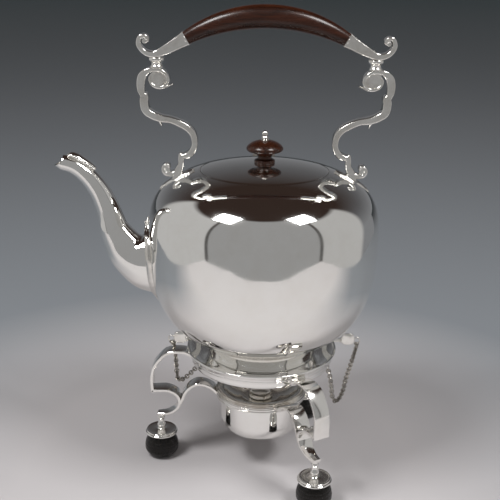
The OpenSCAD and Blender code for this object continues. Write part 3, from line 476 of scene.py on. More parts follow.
# %% Plaited cotton
def plaited_cotton():
    """Pale cotton strands that cross each other, rough and without shine."""
    made, tree, shader, place = new_material("wick_cotton", {"Roughness": 0.9, "Sheen Weight": 0.3})
    strands = new_node(tree, "ShaderNodeTexWave", {"Vector": place, "Scale": 380, "Distortion": 1.2},
                       bands_direction="DIAGONAL").outputs["Fac"]
    relief = new_node(tree, "ShaderNodeBump", {"Distance": 0.0004, "Height": strands})
    tree.links.new(mixed(tree, strands, (0.5, 0.45, 0.36), (0.84, 0.8, 0.7)), shader.inputs["Base Color"])
    tree.links.new(relief.outputs["Normal"], shader.inputs["Normal"])
    return made


wick_cotton = plaited_cotton()
print("other finishes:", grip_wood.name, knob_wood.name, black_wood.name, wick_cotton.name)

# %% [markdown]
# ## The bowl of the kettle
#
# The bowl was raised from sheet silver: fullest at its middle, with a broad nearly flat
# shoulder above and a deeper belly below. Its outline is two quarters of a superellipse, a
# circle's equation with other powers, so the bowl is a shape that follows a rule. Geometry
# Nodes suit it: a flat grid becomes the shell when each point's two grid numbers are turned into
# an angle round the axis and a place along the outline. The same tree gives the outside and the
# inside of the wall.

# %% Bowl sizes and its rule
BOWL_R, BOWL_MID, SHOULDER_H, BELLY_H, BOWL_WALL = 84.3, 173.0, 60.0, 78.0, 1.4
SHOULDER_POWER, BELLY_POWER = (2.0, 3.8), (3.2, 2.4)
LID_R = 46.2


def shoulder_z(r, grow=0.0):
    share = np.clip(np.asarray(r, float) / (BOWL_R + grow), 0, 1)
    return BOWL_MID + (SHOULDER_H + grow) * (1 - share ** SHOULDER_POWER[0]) ** (1 / SHOULDER_POWER[1])


def belly_z(r):
    share = np.clip(np.asarray(r, float) / BOWL_R, 0, 1)
    return BOWL_MID - BELLY_H * (1 - share ** BELLY_POWER[0]) ** (1 / BELLY_POWER[1])


def bowl_radius(z, grow=0.0):
    """The bowl's radius at height z."""
    z = np.asarray(z, float)
    up = np.clip((z - BOWL_MID) / (SHOULDER_H + grow), 0, 1)
    down = np.clip((BOWL_MID - z) / (BELLY_H + grow), 0, 1)
    above = (1 - up ** SHOULDER_POWER[1]) ** (1 / SHOULDER_POWER[0])
    below = (1 - down ** BELLY_POWER[1]) ** (1 / BELLY_POWER[0])
    return (BOWL_R + grow) * np.where(z >= BOWL_MID, above, below)


SEAM_Z = float(shoulder_z(LID_R))
SEAT_R = LID_R + 0.35
HINGE_Y = SEAT_R + 2.1
print("the lid's seam is", round(SEAM_Z + BASE_Z, 2), "mm above the floor")

# %% Tools for geometry trees
def geometry_tree(name, inputs):
    """A geometry tree with named inputs, then those inputs and three tools that build in it."""
    tree = bpy.data.node_groups.new(name, "GeometryNodeTree")
    add_sockets(tree, "INPUT", inputs + [("Finish", "Material", None)])
    add_sockets(tree, "OUTPUT", [("Geometry", "Geometry", None)])
    given = tree.nodes.new("NodeGroupInput").outputs
    end = tree.nodes.new("NodeGroupOutput")

    def add(kind, sockets=(), **settings):
        return new_node(tree, kind, sockets, **settings)

    def calc(operation, a, b=0.0):
        return maths(tree, operation, a, b)

    def close(geometry):
        """Ends the tree: its instances become real and wear the finish."""
        real = add("GeometryNodeRealizeInstances", {"Geometry": geometry})
        coloured = add("GeometryNodeSetMaterial", {"Geometry": real.outputs[0], "Material": given["Finish"]})
        tree.links.new(coloured.outputs[0], end.inputs["Geometry"])
        return tree

    return given, add, calc, close


def grown(name, tree, values, base=None):
    """Runs a geometry tree with these input values and returns its result as a plain mesh object."""
    mesh = base or bpy.data.meshes.new(name)
    thing = in_scene(name + "_source", mesh)
    modifier = thing.modifiers.new("growth", "NODES")
    modifier.node_group = tree
    for socket in tree.interface.items_tree:
        if socket.item_type == "SOCKET" and socket.in_out == "INPUT" and socket.name in values:
            modifier[socket.identifier] = values[socket.name]
    thing.update_tag()
    view = bpy.context.evaluated_depsgraph_get()
    result = bpy.data.meshes.new_from_object(thing.evaluated_get(view))
    bpy.data.objects.remove(thing)
    return finished(name, result)


# %% The tree that turns a grid into the shell
def shell_tree():
    """A grid whose rows run from the axis at the bottom, round the widest point, to the mouth."""
    size, add, calc, close = geometry_tree("superellipse_shell", [
        ("Radius", "Float", 0.08), ("Middle height", "Float", 0.17), ("Shoulder height", "Float", 0.06),
        ("Belly height", "Float", 0.08), ("Mouth radius", "Float", 0.04), ("Axis X", "Float", 0.0),
        ("Steps round", "Int", 192), ("Steps along", "Int", 97)])
    grid = add("GeometryNodeMeshGrid", {"Size X": 1.0, "Size Y": 1.0, "Vertices X": size["Steps round"],
                                        "Vertices Y": size["Steps along"]})
    spot = add("ShaderNodeSeparateXYZ", {0: add("GeometryNodeInputPosition").outputs[0]}).outputs
    angle = calc("MULTIPLY", calc("ADD", spot["X"], 0.5), 2 * math.pi)
    along = calc("MULTIPLY", calc("ADD", spot["Y"], 0.5), 2.0)
    quarter = math.pi / 2
    low_t = calc("MULTIPLY", calc("MINIMUM", along, 1.0), quarter)
    mouth_share = calc("DIVIDE", size["Mouth radius"], size["Radius"])
    mouth_t = calc("ARCSINE", calc("POWER", mouth_share, SHOULDER_POWER[0] / 2))
    climb = calc("MAXIMUM", calc("SUBTRACT", along, 1.0), 0.0)
    high_t = calc("SUBTRACT", quarter, calc("MULTIPLY", climb, calc("SUBTRACT", quarter, mouth_t)))
    low_r = calc("POWER", calc("MAXIMUM", calc("SINE", low_t), 0.0), 2 / BELLY_POWER[0])
    high_r = calc("POWER", calc("SINE", high_t), 2 / SHOULDER_POWER[0])
    low_h = calc("POWER", calc("MAXIMUM", calc("COSINE", low_t), 0.0), 2 / BELLY_POWER[1])
    high_h = calc("POWER", calc("MAXIMUM", calc("COSINE", high_t), 0.0), 2 / SHOULDER_POWER[1])
    above = calc("GREATER_THAN", along, 1.0)

    def either(low, high):
        return calc("ADD", calc("MULTIPLY", low, calc("SUBTRACT", 1.0, above)), calc("MULTIPLY", high, above))

    radius = calc("MULTIPLY", either(low_r, high_r), size["Radius"])
    drop = calc("MULTIPLY", calc("MULTIPLY", low_h, -1.0), size["Belly height"])
    height = calc("ADD", either(drop, calc("MULTIPLY", high_h, size["Shoulder height"])), size["Middle height"])
    spun = add("ShaderNodeCombineXYZ", {
        "X": calc("ADD", calc("MULTIPLY", radius, calc("COSINE", angle)), size["Axis X"]),
        "Y": calc("MULTIPLY", radius, calc("SINE", angle)), "Z": height})
    shaped = add("GeometryNodeSetPosition", {"Geometry": grid.outputs["Mesh"], "Position": spun.outputs[0]})
    welded = add("GeometryNodeMergeByDistance", {"Geometry": shaped.outputs[0], "Distance": 0.000002})
    return close(welded.outputs[0])


SHELL = shell_tree()


def bowl_shell(name, grow, finish):
    """One skin of the bowl, grow millimetres outside the outer one."""
    return grown(name, SHELL, {
        "Radius": (BOWL_R + grow) * MM, "Middle height": (BOWL_MID + BASE_Z) * MM,
        "Shoulder height": (SHOULDER_H + grow) * MM, "Belly height": (BELLY_H + grow) * MM,
        "Mouth radius": SEAT_R * MM, "Axis X": AXIS_X * MM, "Steps round": 193, "Steps along": 97,
        "Finish": finish})


outside = bowl_shell("bowl_outside", 0, body_silver)
inside = bowl_shell("bowl_inside", -BOWL_WALL, inside_silver)
print("outer skin:", len(outside.data.vertices), "points; inner skin:", len(inside.data.vertices))

# %% [markdown]
# The two skins become one closed wall by bridging their open edges at the mouth. Then the
# strainer behind the spout is drilled, and a notch is cut at the back for the lid's hinge,
# both with a Boolean, as a file and a drill would do it.

# %% Wall, strainer and notch
def walled(outer, inner):
    """Joins two skins into one closed wall; the inner skin keeps its own finish."""
    shape = bmesh.new()
    shape.from_mesh(outer.data)
    for f in shape.faces:
        f.material_index = 0
    count = len(shape.faces)
    shape.from_mesh(inner.data)
    shape.faces.ensure_lookup_table()
    for f in shape.faces[count:]:
        f.material_index = 1
        f.normal_flip()
    rim = [e for e in shape.edges if len(e.link_faces) == 1]
    bmesh.ops.bridge_loops(shape, edges=rim)
    shape.to_mesh(outer.data)
    shape.free()
    bpy.data.objects.remove(inner)
    return outer


def cut_away(thing, *cutters):
    """Takes each cutter out of thing and removes the cutter."""
    for cutter in cutters:
        modifier = thing.modifiers.new("cut", "BOOLEAN")
        modifier.operation = "DIFFERENCE"
        modifier.solver = "EXACT"
        modifier.object = cutter
    view = bpy.context.evaluated_depsgraph_get()
    result = bpy.data.meshes.new_from_object(thing.evaluated_get(view))
    thing.modifiers.clear()
    thing.data = result
    for cutter in cutters:
        bpy.data.objects.remove(cutter)
    thing.data.set_sharp_from_angle(angle=math.radians(40))
    return thing


STRAINER_HOLE_R, STRAINER_PITCH, STRAINER_Z = 1.6, 6, 158


def rod_along_x(r, x, y, z, sides=32, length=12):
    """A drill's rod of radius r that starts at this place and points along X."""
    return moved(rotated(turned([(0, 0), (r, 0), (r, length), (0, length)], sides), 90, "Y"), x, y, z)


def drill_holes():
    """The strainer's holes in five staggered rows, as one cutter."""
    holes = []
    for row in range(-2, 3):
        for i in range(-2, 3):
            if abs(i) + abs(row) < 4:
                y, z = (i + row % 2 / 2) * STRAINER_PITCH, STRAINER_Z + row * STRAINER_PITCH
                holes.append(rod_along_x(STRAINER_HOLE_R, -BOWL_R - 2, y, z, 20))
    return piece("strainer_drill", *holes)


def box_part(x0, x1, y0, y1, z0, z1):
    """A plain box between these limits."""
    corners = [(x, y, z) for z in (z0, z1) for y in (y0, y1) for x in (x0, x1)]
    sides = [[0, 2, 3, 1], [4, 5, 7, 6], [0, 1, 5, 4], [2, 6, 7, 3], [0, 4, 6, 2], [1, 3, 7, 5]]
    return np.array(corners, float), sides


bowl = walled(outside, inside)
notch = piece("hinge_notch", box_part(-8.8, 8.8, SEAT_R - 3, HINGE_Y + 2.3, SEAM_Z - 3.8, SEAM_Z + 4.2))
bowl = cut_away(bowl, drill_holes(), notch)
bowl.name = "kettle_bowl_skin"
bowl.data.materials.clear()
for finish in (body_silver, inside_silver):
    bowl.data.materials.append(finish)
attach(bowl, "kettle")
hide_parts("kettle_bowl")
print("bowl:", len(bowl.data.polygons), "faces")

# %% [markdown]
# ## Collar, lid and knob
#
# The collar under the bowl is a plain ring that the stand holds, with three fine mouldings where
# it meets the belly. The lid carries on the line of the shoulder, so only a dark seam shows. All
# of them are turned pieces: an outline with its corners softened, spun about the axis.

# %% Collar and its mouldings
COLLAR_R, COLLAR_Z, MOULDING_H = 40.5, 85.7, 2.3
MOULDING_Z = float(belly_z(COLLAR_R + 1.6)) - MOULDING_H
belly_line = [(r, float(belly_z(r))) for r in np.linspace(COLLAR_R + 1.2, COLLAR_R - 1.8, 5)]
collar = [(COLLAR_R - 1.8, COLLAR_Z), (COLLAR_R, COLLAR_Z), (COLLAR_R + 0.5, COLLAR_Z + 4),
          (COLLAR_R + 1.2, MOULDING_Z + 0.2)] + belly_line
PIN_HOLE_R, PIN_HOLE_Z = 1.58, 94.4
collar_skin = piece("collar_skin", turned(soften(collar, 0.4), 160))
pin_drills = [rod_along_x(PIN_HOLE_R, x, 0, PIN_HOLE_Z) for x in (COLLAR_R - 6, -COLLAR_R - 6)]
cut_away(collar_skin, piece("collar_drill", *pin_drills))
dress(collar_skin, body_silver, "kettle", "foot_collar")


def collar_bead_outline():
    """Three rounded steps between the collar and the belly."""
    rows = [(COLLAR_R + 0.3, MOULDING_Z)]
    for i in range(3):
        low = MOULDING_Z + i * MOULDING_H / 3
        rows += [(COLLAR_R + 1.7, low + 0.06), (COLLAR_R + 2.3, low + 0.2), (COLLAR_R + 2.4, low + 0.4),
                 (COLLAR_R + 2.2, low + 0.62), (COLLAR_R + 1.75, low + 0.72)]
    return rows + [(r, float(belly_z(r)) + 0.15) for r in (COLLAR_R + 1.9, COLLAR_R + 0.3)]


beads = piece("collar_beads", turned(soften(collar_bead_outline(), 0.15, 3), 160))
dress(beads, cast_silver, "kettle", "collar_moulding")

# %% The lid
def arc_rows(radii, grow):
    """Rows of (radius, height) along the shoulder's line, grow millimetres outside it."""
    return [(float(r), float(shoulder_z(r, grow))) for r in radii]


BOLT_HOLE_R, LID_WALL, VENT_R = 1.65, 1.3, 1.1
lid_top = arc_rows(np.linspace(BOLT_HOLE_R, LID_R, 40), 0)
lid_under = arc_rows(np.linspace(LID_R, BOLT_HOLE_R, 40), -LID_WALL)
lid_edge = soften([lid_top[-1], lid_under[0]], 0.2).tolist()
lid = piece("lid_skin", turned(lid_top[:-1] + lid_edge + lid_under[1:], 192))
flange_z = float(shoulder_z(LID_R - 4, -LID_WALL))
flange_outline = [(LID_R - 5.2, SEAM_Z - 4.5), (LID_R - 4, SEAM_Z - 4.5), (LID_R - 4, flange_z),
                  (LID_R - 5.2, flange_z + 0.3)]
flange = piece("lid_flange", turned(soften(flange_outline, 0.2), 160))
vent_rod = turned([(0, 0), (VENT_R, 0), (VENT_R, 80), (0, 80)], 24)
vent = piece("vent_drill", moved(vent_rod, 0, -LID_R * 0.52, BOWL_MID))
lid = cut_away(lid, vent)
dress(lid, body_silver, "lid", "lid")
dress(flange, inside_silver, "lid")

# %% The knob: neck, cap and silver tip
KNOB_Z, CAP_Z, TIP_Z, CAP_R = 232.7, 240.7, 249.3, 13.3
neck = [(1.6, KNOB_Z), (7.2, KNOB_Z), (7.5, KNOB_Z + 0.9), (7.4, KNOB_Z + 2.2), (6.6, KNOB_Z + 2.7),
        (5.3, KNOB_Z + 3.1), (4.9, KNOB_Z + 4.2), (5.2, KNOB_Z + 5.4), (6.6, KNOB_Z + 6.8), (8.6, CAP_Z - 0.2),
        (8.8, CAP_Z), (1.6, CAP_Z)]
cap = [(1.6, CAP_Z), (CAP_R - 4, CAP_Z), (CAP_R - 1.3, CAP_Z + 0.6), (CAP_R - 0.3, CAP_Z + 1.5),
       (CAP_R, CAP_Z + 2.5), (CAP_R - 0.3, CAP_Z + 3.5), (CAP_R - 1.3, CAP_Z + 4.8),
       (CAP_R - 3.4, CAP_Z + 6.45), (CAP_R - 6.3, CAP_Z + 7.75), (CAP_R - 9.6, TIP_Z), (1.6, TIP_Z)]
tip = raised(TIP_Z, [(0, 0), (3.1, 0), (3.3, 0.5), (2.2, 1.2), (2.7, 2.2), (2, 3.1), (1.4, 3.5)])
BALL_R = 2.3
ball = [(BALL_R * math.sin(a), TIP_Z + 4.7 - BALL_R * math.cos(a)) for a in np.linspace(0.72, math.pi, 16)]
lathe("knob_neck", neck, 0.8, 96, knob_wood, "lid", "finial_neck", slot="wood")
lathe("knob_cap", cap, 1.2, 96, knob_wood, "lid", "finial_cap", slot="wood")
bolt = [(0, 227), (1.6, 227), (1.6, TIP_Z), (0, TIP_Z)]
knob_tip = piece("knob_tip", turned(soften(tip, 0.5).tolist() + ball, 64), turned(bolt, 32))
dress(knob_tip, cast_silver, "lid", "finial_tip")

# %% [markdown]
# ## The spout
#
# A swan-neck spout is made from two stamped halves soldered down the sides, wide and flat where
# it leaves the bowl and round at the neck. The path below gives, for each of its stations, the
# place and the half widths of its oval. Its root is trimmed to the bowl's skin line by line,
# so the tube ends on the metal and doesn't stick out inside the kettle.

# %% Spout
SPOUT = [(-76, 156.8, 25, 17.4), (-86, 158.2, 23.6, 16.8), (-93.5, 161, 19.8, 15.4), (-100, 165.5, 16, 13.4),
         (-105.2, 173.2, 12.8, 11.5), (-109.6, 181.8, 10.6, 10), (-111.9, 190.5, 9.2, 8.9),
         (-114.9, 200, 8.2, 8.1), (-119, 209.3, 7.5, 7.4), (-125, 218.3, 6.8, 6.9), (-131.8, 225.3, 6.3, 6.6),
         (-138.6, 229.6, 6, 6.4), (-146.4, 231.4, 5.5, 5.6)]
MOUTH_ACROSS = (-9.9, -4.8)


def trimmed_to_bowl(points, rows, sides, grow=0.0):
    """Slides the start of each lengthwise line of a swept tube to where it leaves the bowl."""
    grid = points.reshape(rows, sides, 3).copy()
    for k in range(sides):
        line = grid[:, k]
        gap = np.hypot(line[:, 0], line[:, 1]) - bowl_radius(line[:, 2], grow)
        out = int(np.argmax(gap > 0))
        share = gap[out - 1] / (gap[out - 1] - gap[out]) if out else 0
        start = line[out - 1] + (line[out] - line[out - 1]) * share if out else line[0]
        kept = np.vstack([start, line[out:]])
        run = np.concatenate([[0], np.cumsum(np.linalg.norm(np.diff(kept, axis=0), axis=1))])
        whole = np.concatenate([[0], np.cumsum(np.linalg.norm(np.diff(line, axis=0), axis=1))])
        want = whole / whole[-1] * run[-1]
        grid[:, k] = np.stack([np.interp(want, run, kept[:, i]) for i in range(3)], 1)
    return grid.reshape(-1, 3)


SPOUT_WALL, SPOUT_SIDES, SPOUT_STEPS = 1.2, 56, 8


def spout_tube():
    """Outer and inner skins of the spout, closed at the root and round the lip, then its count of stations."""
    sides = SPOUT_SIDES
    path = smooth_path(SPOUT, SPOUT_STEPS)
    rows = len(path)
    outer, faces = swept(path, cast_section(1, sides), last=MOUTH_ACROSS)
    thin = path - (0, 0, SPOUT_WALL, SPOUT_WALL)
    inner, inner_faces = swept(thin, cast_section(1, sides), last=MOUTH_ACROSS)
    outer = trimmed_to_bowl(outer, rows, sides, -0.3)
    inner = trimmed_to_bowl(inner, rows, sides, -0.3)
    end = (rows - 1) * sides
    shift = len(outer)
    joined = faces[2:] + [[i + shift for i in f][::-1] for f in inner_faces[2:]]
    for k in range(sides):
        j = (k + 1) % sides
        joined.append([k, j, j + shift, k + shift])
        joined.append([end + k, end + k + shift, end + j + shift, end + j])
    return (np.vstack([outer, inner]), joined), rows


tube_parts, stations = spout_tube()
spout = dress(piece("spout_skin", tube_parts, sharp=50), body_silver, "kettle", "spout")
spout.data.materials.append(inside_silver)
skin_faces = (stations - 1) * SPOUT_SIDES
for face in spout.data.polygons[skin_faces : 2 * skin_faces]:
    face.material_index = 1

# %% [markdown]
# The scroll over the mouth is a cast leaf with a row of graded pearls along each edge. The pearls
# follow a path, so a tree places one small ball at each station, larger in the middle of the
# leaf, and turns the instances into plain faces at its end.

# %% Hood over the mouth, with its pearls
HOOD = [(-141.3, 236.6, 1.1, 2.6), (-138.3, 236.9, 2, 4.2), (-134, 235, 2.4, 4.4), (-129.6, 232, 2.3, 3.9),
        (-125.4, 229.2, 1.9, 3), (-121.6, 226.6, 1, 1.6)]
hood = piece("hood_scroll", swept(smooth_path(HOOD, 8), cast_section(0.9, 32)))
dress(hood, cast_silver, "kettle", "spout_hood")


def pearl_tree():
    """One ball on each point of the mesh it is given, sized by distance along the row."""
    size, add, calc, close = geometry_tree("graded_pearls", [
        ("Geometry", "Geometry", None), ("Largest", "Float", 0.001), ("Smallest", "Float", 0.0005)])
    ball = add("GeometryNodeMeshUVSphere", {"Segments": 14, "Rings": 9, "Radius": 1.0})
    share = add("GeometryNodeInputNamedAttribute", {"Name": "fullness"}, data_type="FLOAT").outputs[0]
    spread = calc("SUBTRACT", size["Largest"], size["Smallest"])
    radius = calc("ADD", size["Smallest"], calc("MULTIPLY", spread, share))
    placed = add("GeometryNodeInstanceOnPoints", {"Points": size["Geometry"], "Instance": ball.outputs["Mesh"],
                                                  "Scale": radius})
    return close(placed.outputs[0])


def points_mesh(name, points, **marks):
    """A mesh of loose points in the row's frame, each mark an attribute with one number a point."""
    mesh = bpy.data.meshes.new(name)
    mesh.from_pydata(((np.array(points) + (AXIS_X, 0, BASE_Z)) * MM).tolist(), [], [])
    for label, values in marks.items():
        mesh.attributes.new(label, "FLOAT", "POINT").data.foreach_set("value", np.array(values, np.float32))
    return mesh


PEARLS = pearl_tree()
stations = smooth_path(HOOD, 3)[2:-1]
pearl_points = [(x, side * (deep + 0.1), z) for x, z, _, deep in stations for side in (-1, 1)]
fullness = np.repeat(np.sin(np.linspace(0.5, math.pi - 0.25, len(stations))), 2)
pearls = grown("hood_pearls", PEARLS, {"Largest": 0.00115, "Smallest": 0.0006, "Finish": cast_silver},
               points_mesh("pearl_points", pearl_points, fullness=fullness))
dress(pearls, cast_silver, "kettle")

# %% [markdown]
# A shaped plate spreads the spout's pull over the bowl's thin wall. It is drawn as a height
# above the bowl: two steps with rounded edges inside an outline with a point at its top and foot.

# %% Plate at the spout's root
SUNK = 0.15  # how far the plate and the leaves reach into the bowl's metal
PLATE = [(0, 192), (2.2, 187), (6, 182.6), (14, 179), (20, 171), (21.6, 160), (19.5, 148), (13, 137.5),
         (6.5, 131.5), (2.4, 127), (0, 119)]


def root_plate(rows=90, columns=48):
    """A plate laid on the bowl's left side; its thickness rises in two steps from the outline."""
    line = smooth_path(PLATE, 6)[::-1]
    heights = np.linspace(119.05, 191.9, rows)
    widths = np.interp(heights, line[:, 1], line[:, 0])
    top, under = [], []
    for z, width in zip(heights, widths):
        for share in np.linspace(-1, 1, columns):
            y = share * width
            edge = min(width * (1 - abs(share)), (z - 119) * 0.5, (192 - z) * 0.5)
            thick = 1.6 * min(1, (edge / 0.9)) ** 0.5 + 1.5 * float(np.clip((edge - 1.2) / 0.9, 0, 1)) ** 0.5
            for store, d in ((top, thick), (under, -SUNK)):
                r = float(bowl_radius(z, d))
                store.append((-math.sqrt(max(r * r - y * y, 0)), y, z))
    return sheet_on(top, under, rows, columns)


dress(piece("spout_root_plate", root_plate(), sharp=35), cast_silver, "kettle", "spout_plate")

# %% [markdown]
# ## The handle
#
# The handle's metal parts are cast scrolls, finished with files and pinned to the wooden grip.
# Each side has a scroll with a socket, a small turned spool, a C scroll with a button in its
# eye, and a foot with a leaf laid on the shoulder. One side is drawn and the other is
# its mirror.

# %% Grip
def cast_pair(node, parts):
    """Dresses the casting drawn on the left and its mirror on the right."""
    dress(piece(f"{node}_left_cast", *parts), cast_silver, "kettle", f"{node}_left")
    dress(piece(f"{node}_right_cast", *[mirrored(p) for p in parts]), cast_silver, "kettle", f"{node}_right")


GRIP_HALF, GRIP_CURVE_R, GRIP_TOP = 55.4, 110.0, 335.0
GRIP_ANGLE = math.asin(GRIP_HALF / GRIP_CURVE_R)
GRIP_CENTRE = GRIP_TOP - GRIP_CURVE_R
GRIP_END_Z = GRIP_CENTRE + GRIP_CURVE_R * math.cos(GRIP_ANGLE)


def grip_rows(steps=40):
    rows = []
    for t in np.linspace(-1, 1, steps + 1):
        a = GRIP_ANGLE * t
        thick = 4.8 + 3.5 * (1 - t * t)
        rows.append((GRIP_CURVE_R * math.sin(a), GRIP_CENTRE + GRIP_CURVE_R * math.cos(a), thick, thick))
    return rows


grip_ends = [(s * math.sin(GRIP_ANGLE), math.cos(GRIP_ANGLE)) for s in (-1, 1)]
dress(piece("grip_turned", swept(grip_rows(), cast_section(1, 56), first=grip_ends[0], last=grip_ends[1])),
      grip_wood, "kettle", "grip", slot="wood")

# %% Sockets with their scrolls
c, s = math.cos(GRIP_ANGLE), math.sin(GRIP_ANGLE)
SOCKET = [(-GRIP_HALF, GRIP_END_Z, 5.1, 5.1), (-GRIP_HALF - 5 * c, GRIP_END_Z - 5 * s, 4.4, 5),
          (-68, 312.9, 3.5, 5), (-75.6, 309.3, 2.5, 4.6), (-81.2, 309.1, 2, 4.6), (-85.8, 311.6, 1.75, 4.6),
          (-88.2, 316, 1.7, 4.6), (-87.2, 320.4, 1.5, 4.3), (-84, 321.2, 1.4, 4.2), (-82, 318.8, 1.2, 4),
          (-83.4, 317, 1, 3.8)]


def collar_ring(t, r, wide):
    """A raised band round the socket's mouth, t millimetres from the grip's end."""
    outline = soften([(r - 1, -wide / 2), (r + 0.45, -wide / 2), (r + 0.45, wide / 2), (r - 1, wide / 2)], 0.4)
    ring = rotated(turned(outline, 56), -90 - math.degrees(GRIP_ANGLE), "Y")
    return moved(ring, -GRIP_HALF - t * c, 0, GRIP_END_Z - t * s)


cast_pair("socket", [swept(smooth_path(SOCKET, 8), cast_flat), button(-84.2, 317.8, 1.6, 4.2, 0.4),
                     collar_ring(0.9, 5, 1.3)])

# %% Spools
SPOOL_X, SPOOL_Z = 76.2, 299.4
spool = raised(SPOOL_Z, [(0, 0), (4.5, 0), (4.7, 0.8), (4.3, 1.6), (3.8, 2.2), (3.7, 3.2), (4.2, 4.2),
    (5.2, 4.9), (5.6, 5.8), (5.4, 7.3), (0, 7.3)])
for side, x in (("left", -SPOOL_X), ("right", SPOOL_X)):
    spool_piece = piece(f"spool_{side}_turned", moved(turned(soften(spool, 0.5), 64), x))
    dress(spool_piece, cast_silver, "kettle", f"spool_{side}")

# %% Arms
DEEP = 4.6
ARM = [(-81.1, 293.4, 0.9, 3.8), (-80.9, 290.6, 1, 4.2), (-79, 287.8, 1.1, DEEP), (-75.5, 286.2, 1.2, DEEP),
       (-71.8, 286.5, 1.2, DEEP), (-69.1, 288.7, 1.1, DEEP), (-68.2, 292.1, 1.1, DEEP),
       (-70.1, 295.7, 1.2, DEEP), (-73.4, 297.9, 1.3, DEEP), (-77.6, 298.3, 1.3, DEEP), (-81.2, 298, 1.7, DEEP),
       (-84.2, 296.2, 2.4, DEEP), (-86.5, 293.2, 2.9, DEEP), (-87.4, 288.4, 2.8, DEEP), (-87.2, 284, 2.5, DEEP),
       (-86.4, 281.6, 2.2, DEEP), (-85, 279.3, 2.8, DEEP), (-85.4, 276.3, 2.9, DEEP), (-84.2, 270, 2.8, DEEP),
       (-79.5, 266.4, 2.6, DEEP), (-73.3, 264.2, 2.4, DEEP), (-66.9, 263.3, 2.1, DEEP),
       (-60.4, 260.8, 2.3, DEEP), (-54.8, 257.6, 2.3, DEEP), (-51.1, 253, 2.2, DEEP), (-49.9, 247, 2.05, DEEP),
       (-51, 242.6, 2.1, DEEP), (-54, 238.6, 2.2, DEEP), (-58.6, 237.2, 1.6, DEEP)]


def thorn(start, end, r):
    """A small cast spur that tapers from start to end."""
    a, b = np.array(start, float), np.array(end, float)
    rows = []
    for t in np.linspace(0, 1, 7):
        x, z = a + (b - a) * t
        rows.append((x, z, r + (0.45 - r) * t**0.8, 3 - 1.5 * t))
    return swept(rows, cast_section(0.8, 20))


EYE = (-75.3, 291.6)  # the middle of the arm's upper volute
turns = np.radians(np.linspace(150, 690, 46))
shrink = np.linspace(5.4, 2.1, 46)
coil = [(EYE[0] + r * math.cos(a), EYE[1] + r * math.sin(a), 0.55, 4.5) for a, r in zip(turns, shrink)]
arm_parts = [swept(smooth_path(ARM, 6), cast_flat), button(*EYE, 5, 3.6, 0.5), button(*EYE, 6.4, 2.8, 0.3),
             swept(coil, cast_section(0.8, 12)),
             thorn((-70.8, 286.2), (-64.9, 288.2), 1.3), thorn((-75.6, 263.6), (-73.4, 258.8), 1.5)]
cast_pair("arm", arm_parts)

# %% Feet of the handle
FOOT_SCROLL = [(-62.5, 225.2, 2, 4), (-66.5, 224.2, 1.7, 4.2), (-70.6, 224.4, 1.5, 4.3), (-72.6, 227, 1.4, 4.3),
               (-71.8, 230, 1.3, 4.1), (-69.4, 230.6, 1.2, 3.9), (-68.2, 228.8, 1, 3.7)]
LEAF = [(-76, 0), (-72, 3.4), (-67, 5.2), (-63.5, 9.4), (-60, 6.6), (-55, 6.2), (-50.5, 0)]
TRUNK = [(-60.6, 239.2, 0.9, 3.4), (-59.9, 236.4, 1.9, 4.2), (-60.1, 230.8, 2.1, 4.2), (-61.8, 226.8, 2.8, 4.3),
         (-62.4, 221, 3.8, 4.6)]


def shoulder_leaf(rows=60, columns=31):
    """A leaf on the shoulder with a raised midrib and rounded edges."""
    line = smooth_path(LEAF, 6)
    spots = np.linspace(-75.9, -50.6, rows)
    widths = np.interp(spots, line[:, 0], line[:, 1])
    top, under = [], []
    for x, width in zip(spots, widths):
        for share in np.linspace(-1, 1, columns):
            y = share * max(width, 0.05)
            r = math.hypot(x, y)
            edge = min(max(width, 0.05) * (1 - abs(share)), x + 76.2, -50.4 - x)
            midrib = 0.45 * math.exp(-((y / 0.9) ** 2))
            groove = 0.2 * math.exp(-(((abs(y) - 2.3) / 0.6) ** 2))
            thick = 1.3 * min(1, edge / 1.1) ** 0.5 + midrib - groove
            top.append((x, y, float(shoulder_z(r)) + max(thick, 0.05)))
            under.append((x, y, float(shoulder_z(r)) - SUNK))
    return sheet_on(top, under, rows, columns)


foot_parts = [shoulder_leaf(), swept(smooth_path(FOOT_SCROLL, 8), cast_flat),
              button(-70.2, 227.4, 2.3, 3.7, 0.4), swept(smooth_path(TRUNK, 8), cast_flat, last=(1, 0))]
cast_pair("handle_foot", foot_parts)

# %% [markdown]
# ## The stand
#
# A turned ring carries the kettle's collar. Three legs of flat strap leave its underside, drop,
# fold at a sharp corner and curl in to the feet, and three braces reach inwards to the burner's
# holder. The straps are a rounded rectangle pushed along each path, so their broad faces stay
# flat and reflect like strips of mirror.

# %% Ring
RING_R, RING_BORE, SEAT_Z, RING_TOP, RING_BOTTOM = 57.0, 37.8, 85.6, 90.2, 78.8
ring = [(RING_BORE, SEAT_Z - 2.6), (RING_BORE, SEAT_Z), (COLLAR_R + 1.2, SEAT_Z), (COLLAR_R + 7, SEAT_Z + 0.5),
        (COLLAR_R + 12, SEAT_Z + 1.8), (RING_R - 2.2, RING_TOP - 1.5), (RING_R - 1.6, RING_TOP - 0.3),
        (RING_R - 0.9, RING_TOP), (RING_R - 0.2, RING_TOP - 0.3), (RING_R, RING_TOP - 1),
        (RING_R - 0.5, RING_TOP - 2), (RING_R - 1.8, RING_TOP - 3.4), (RING_R - 2.5, RING_TOP - 5),
        (RING_R - 2.3, RING_TOP - 5.6), (RING_R - 2.9, RING_TOP - 6.2), (RING_R - 3.3, RING_BOTTOM + 3.4),
        (RING_R - 3.2, RING_BOTTOM + 2.4), (RING_R - 3.6, RING_BOTTOM + 0.9), (RING_R - 4.3, RING_BOTTOM),
        (RING_R - 6, RING_BOTTOM), (RING_R - 7.4, RING_BOTTOM + 2), (COLLAR_R + 5, SEAT_Z - 3.2)]
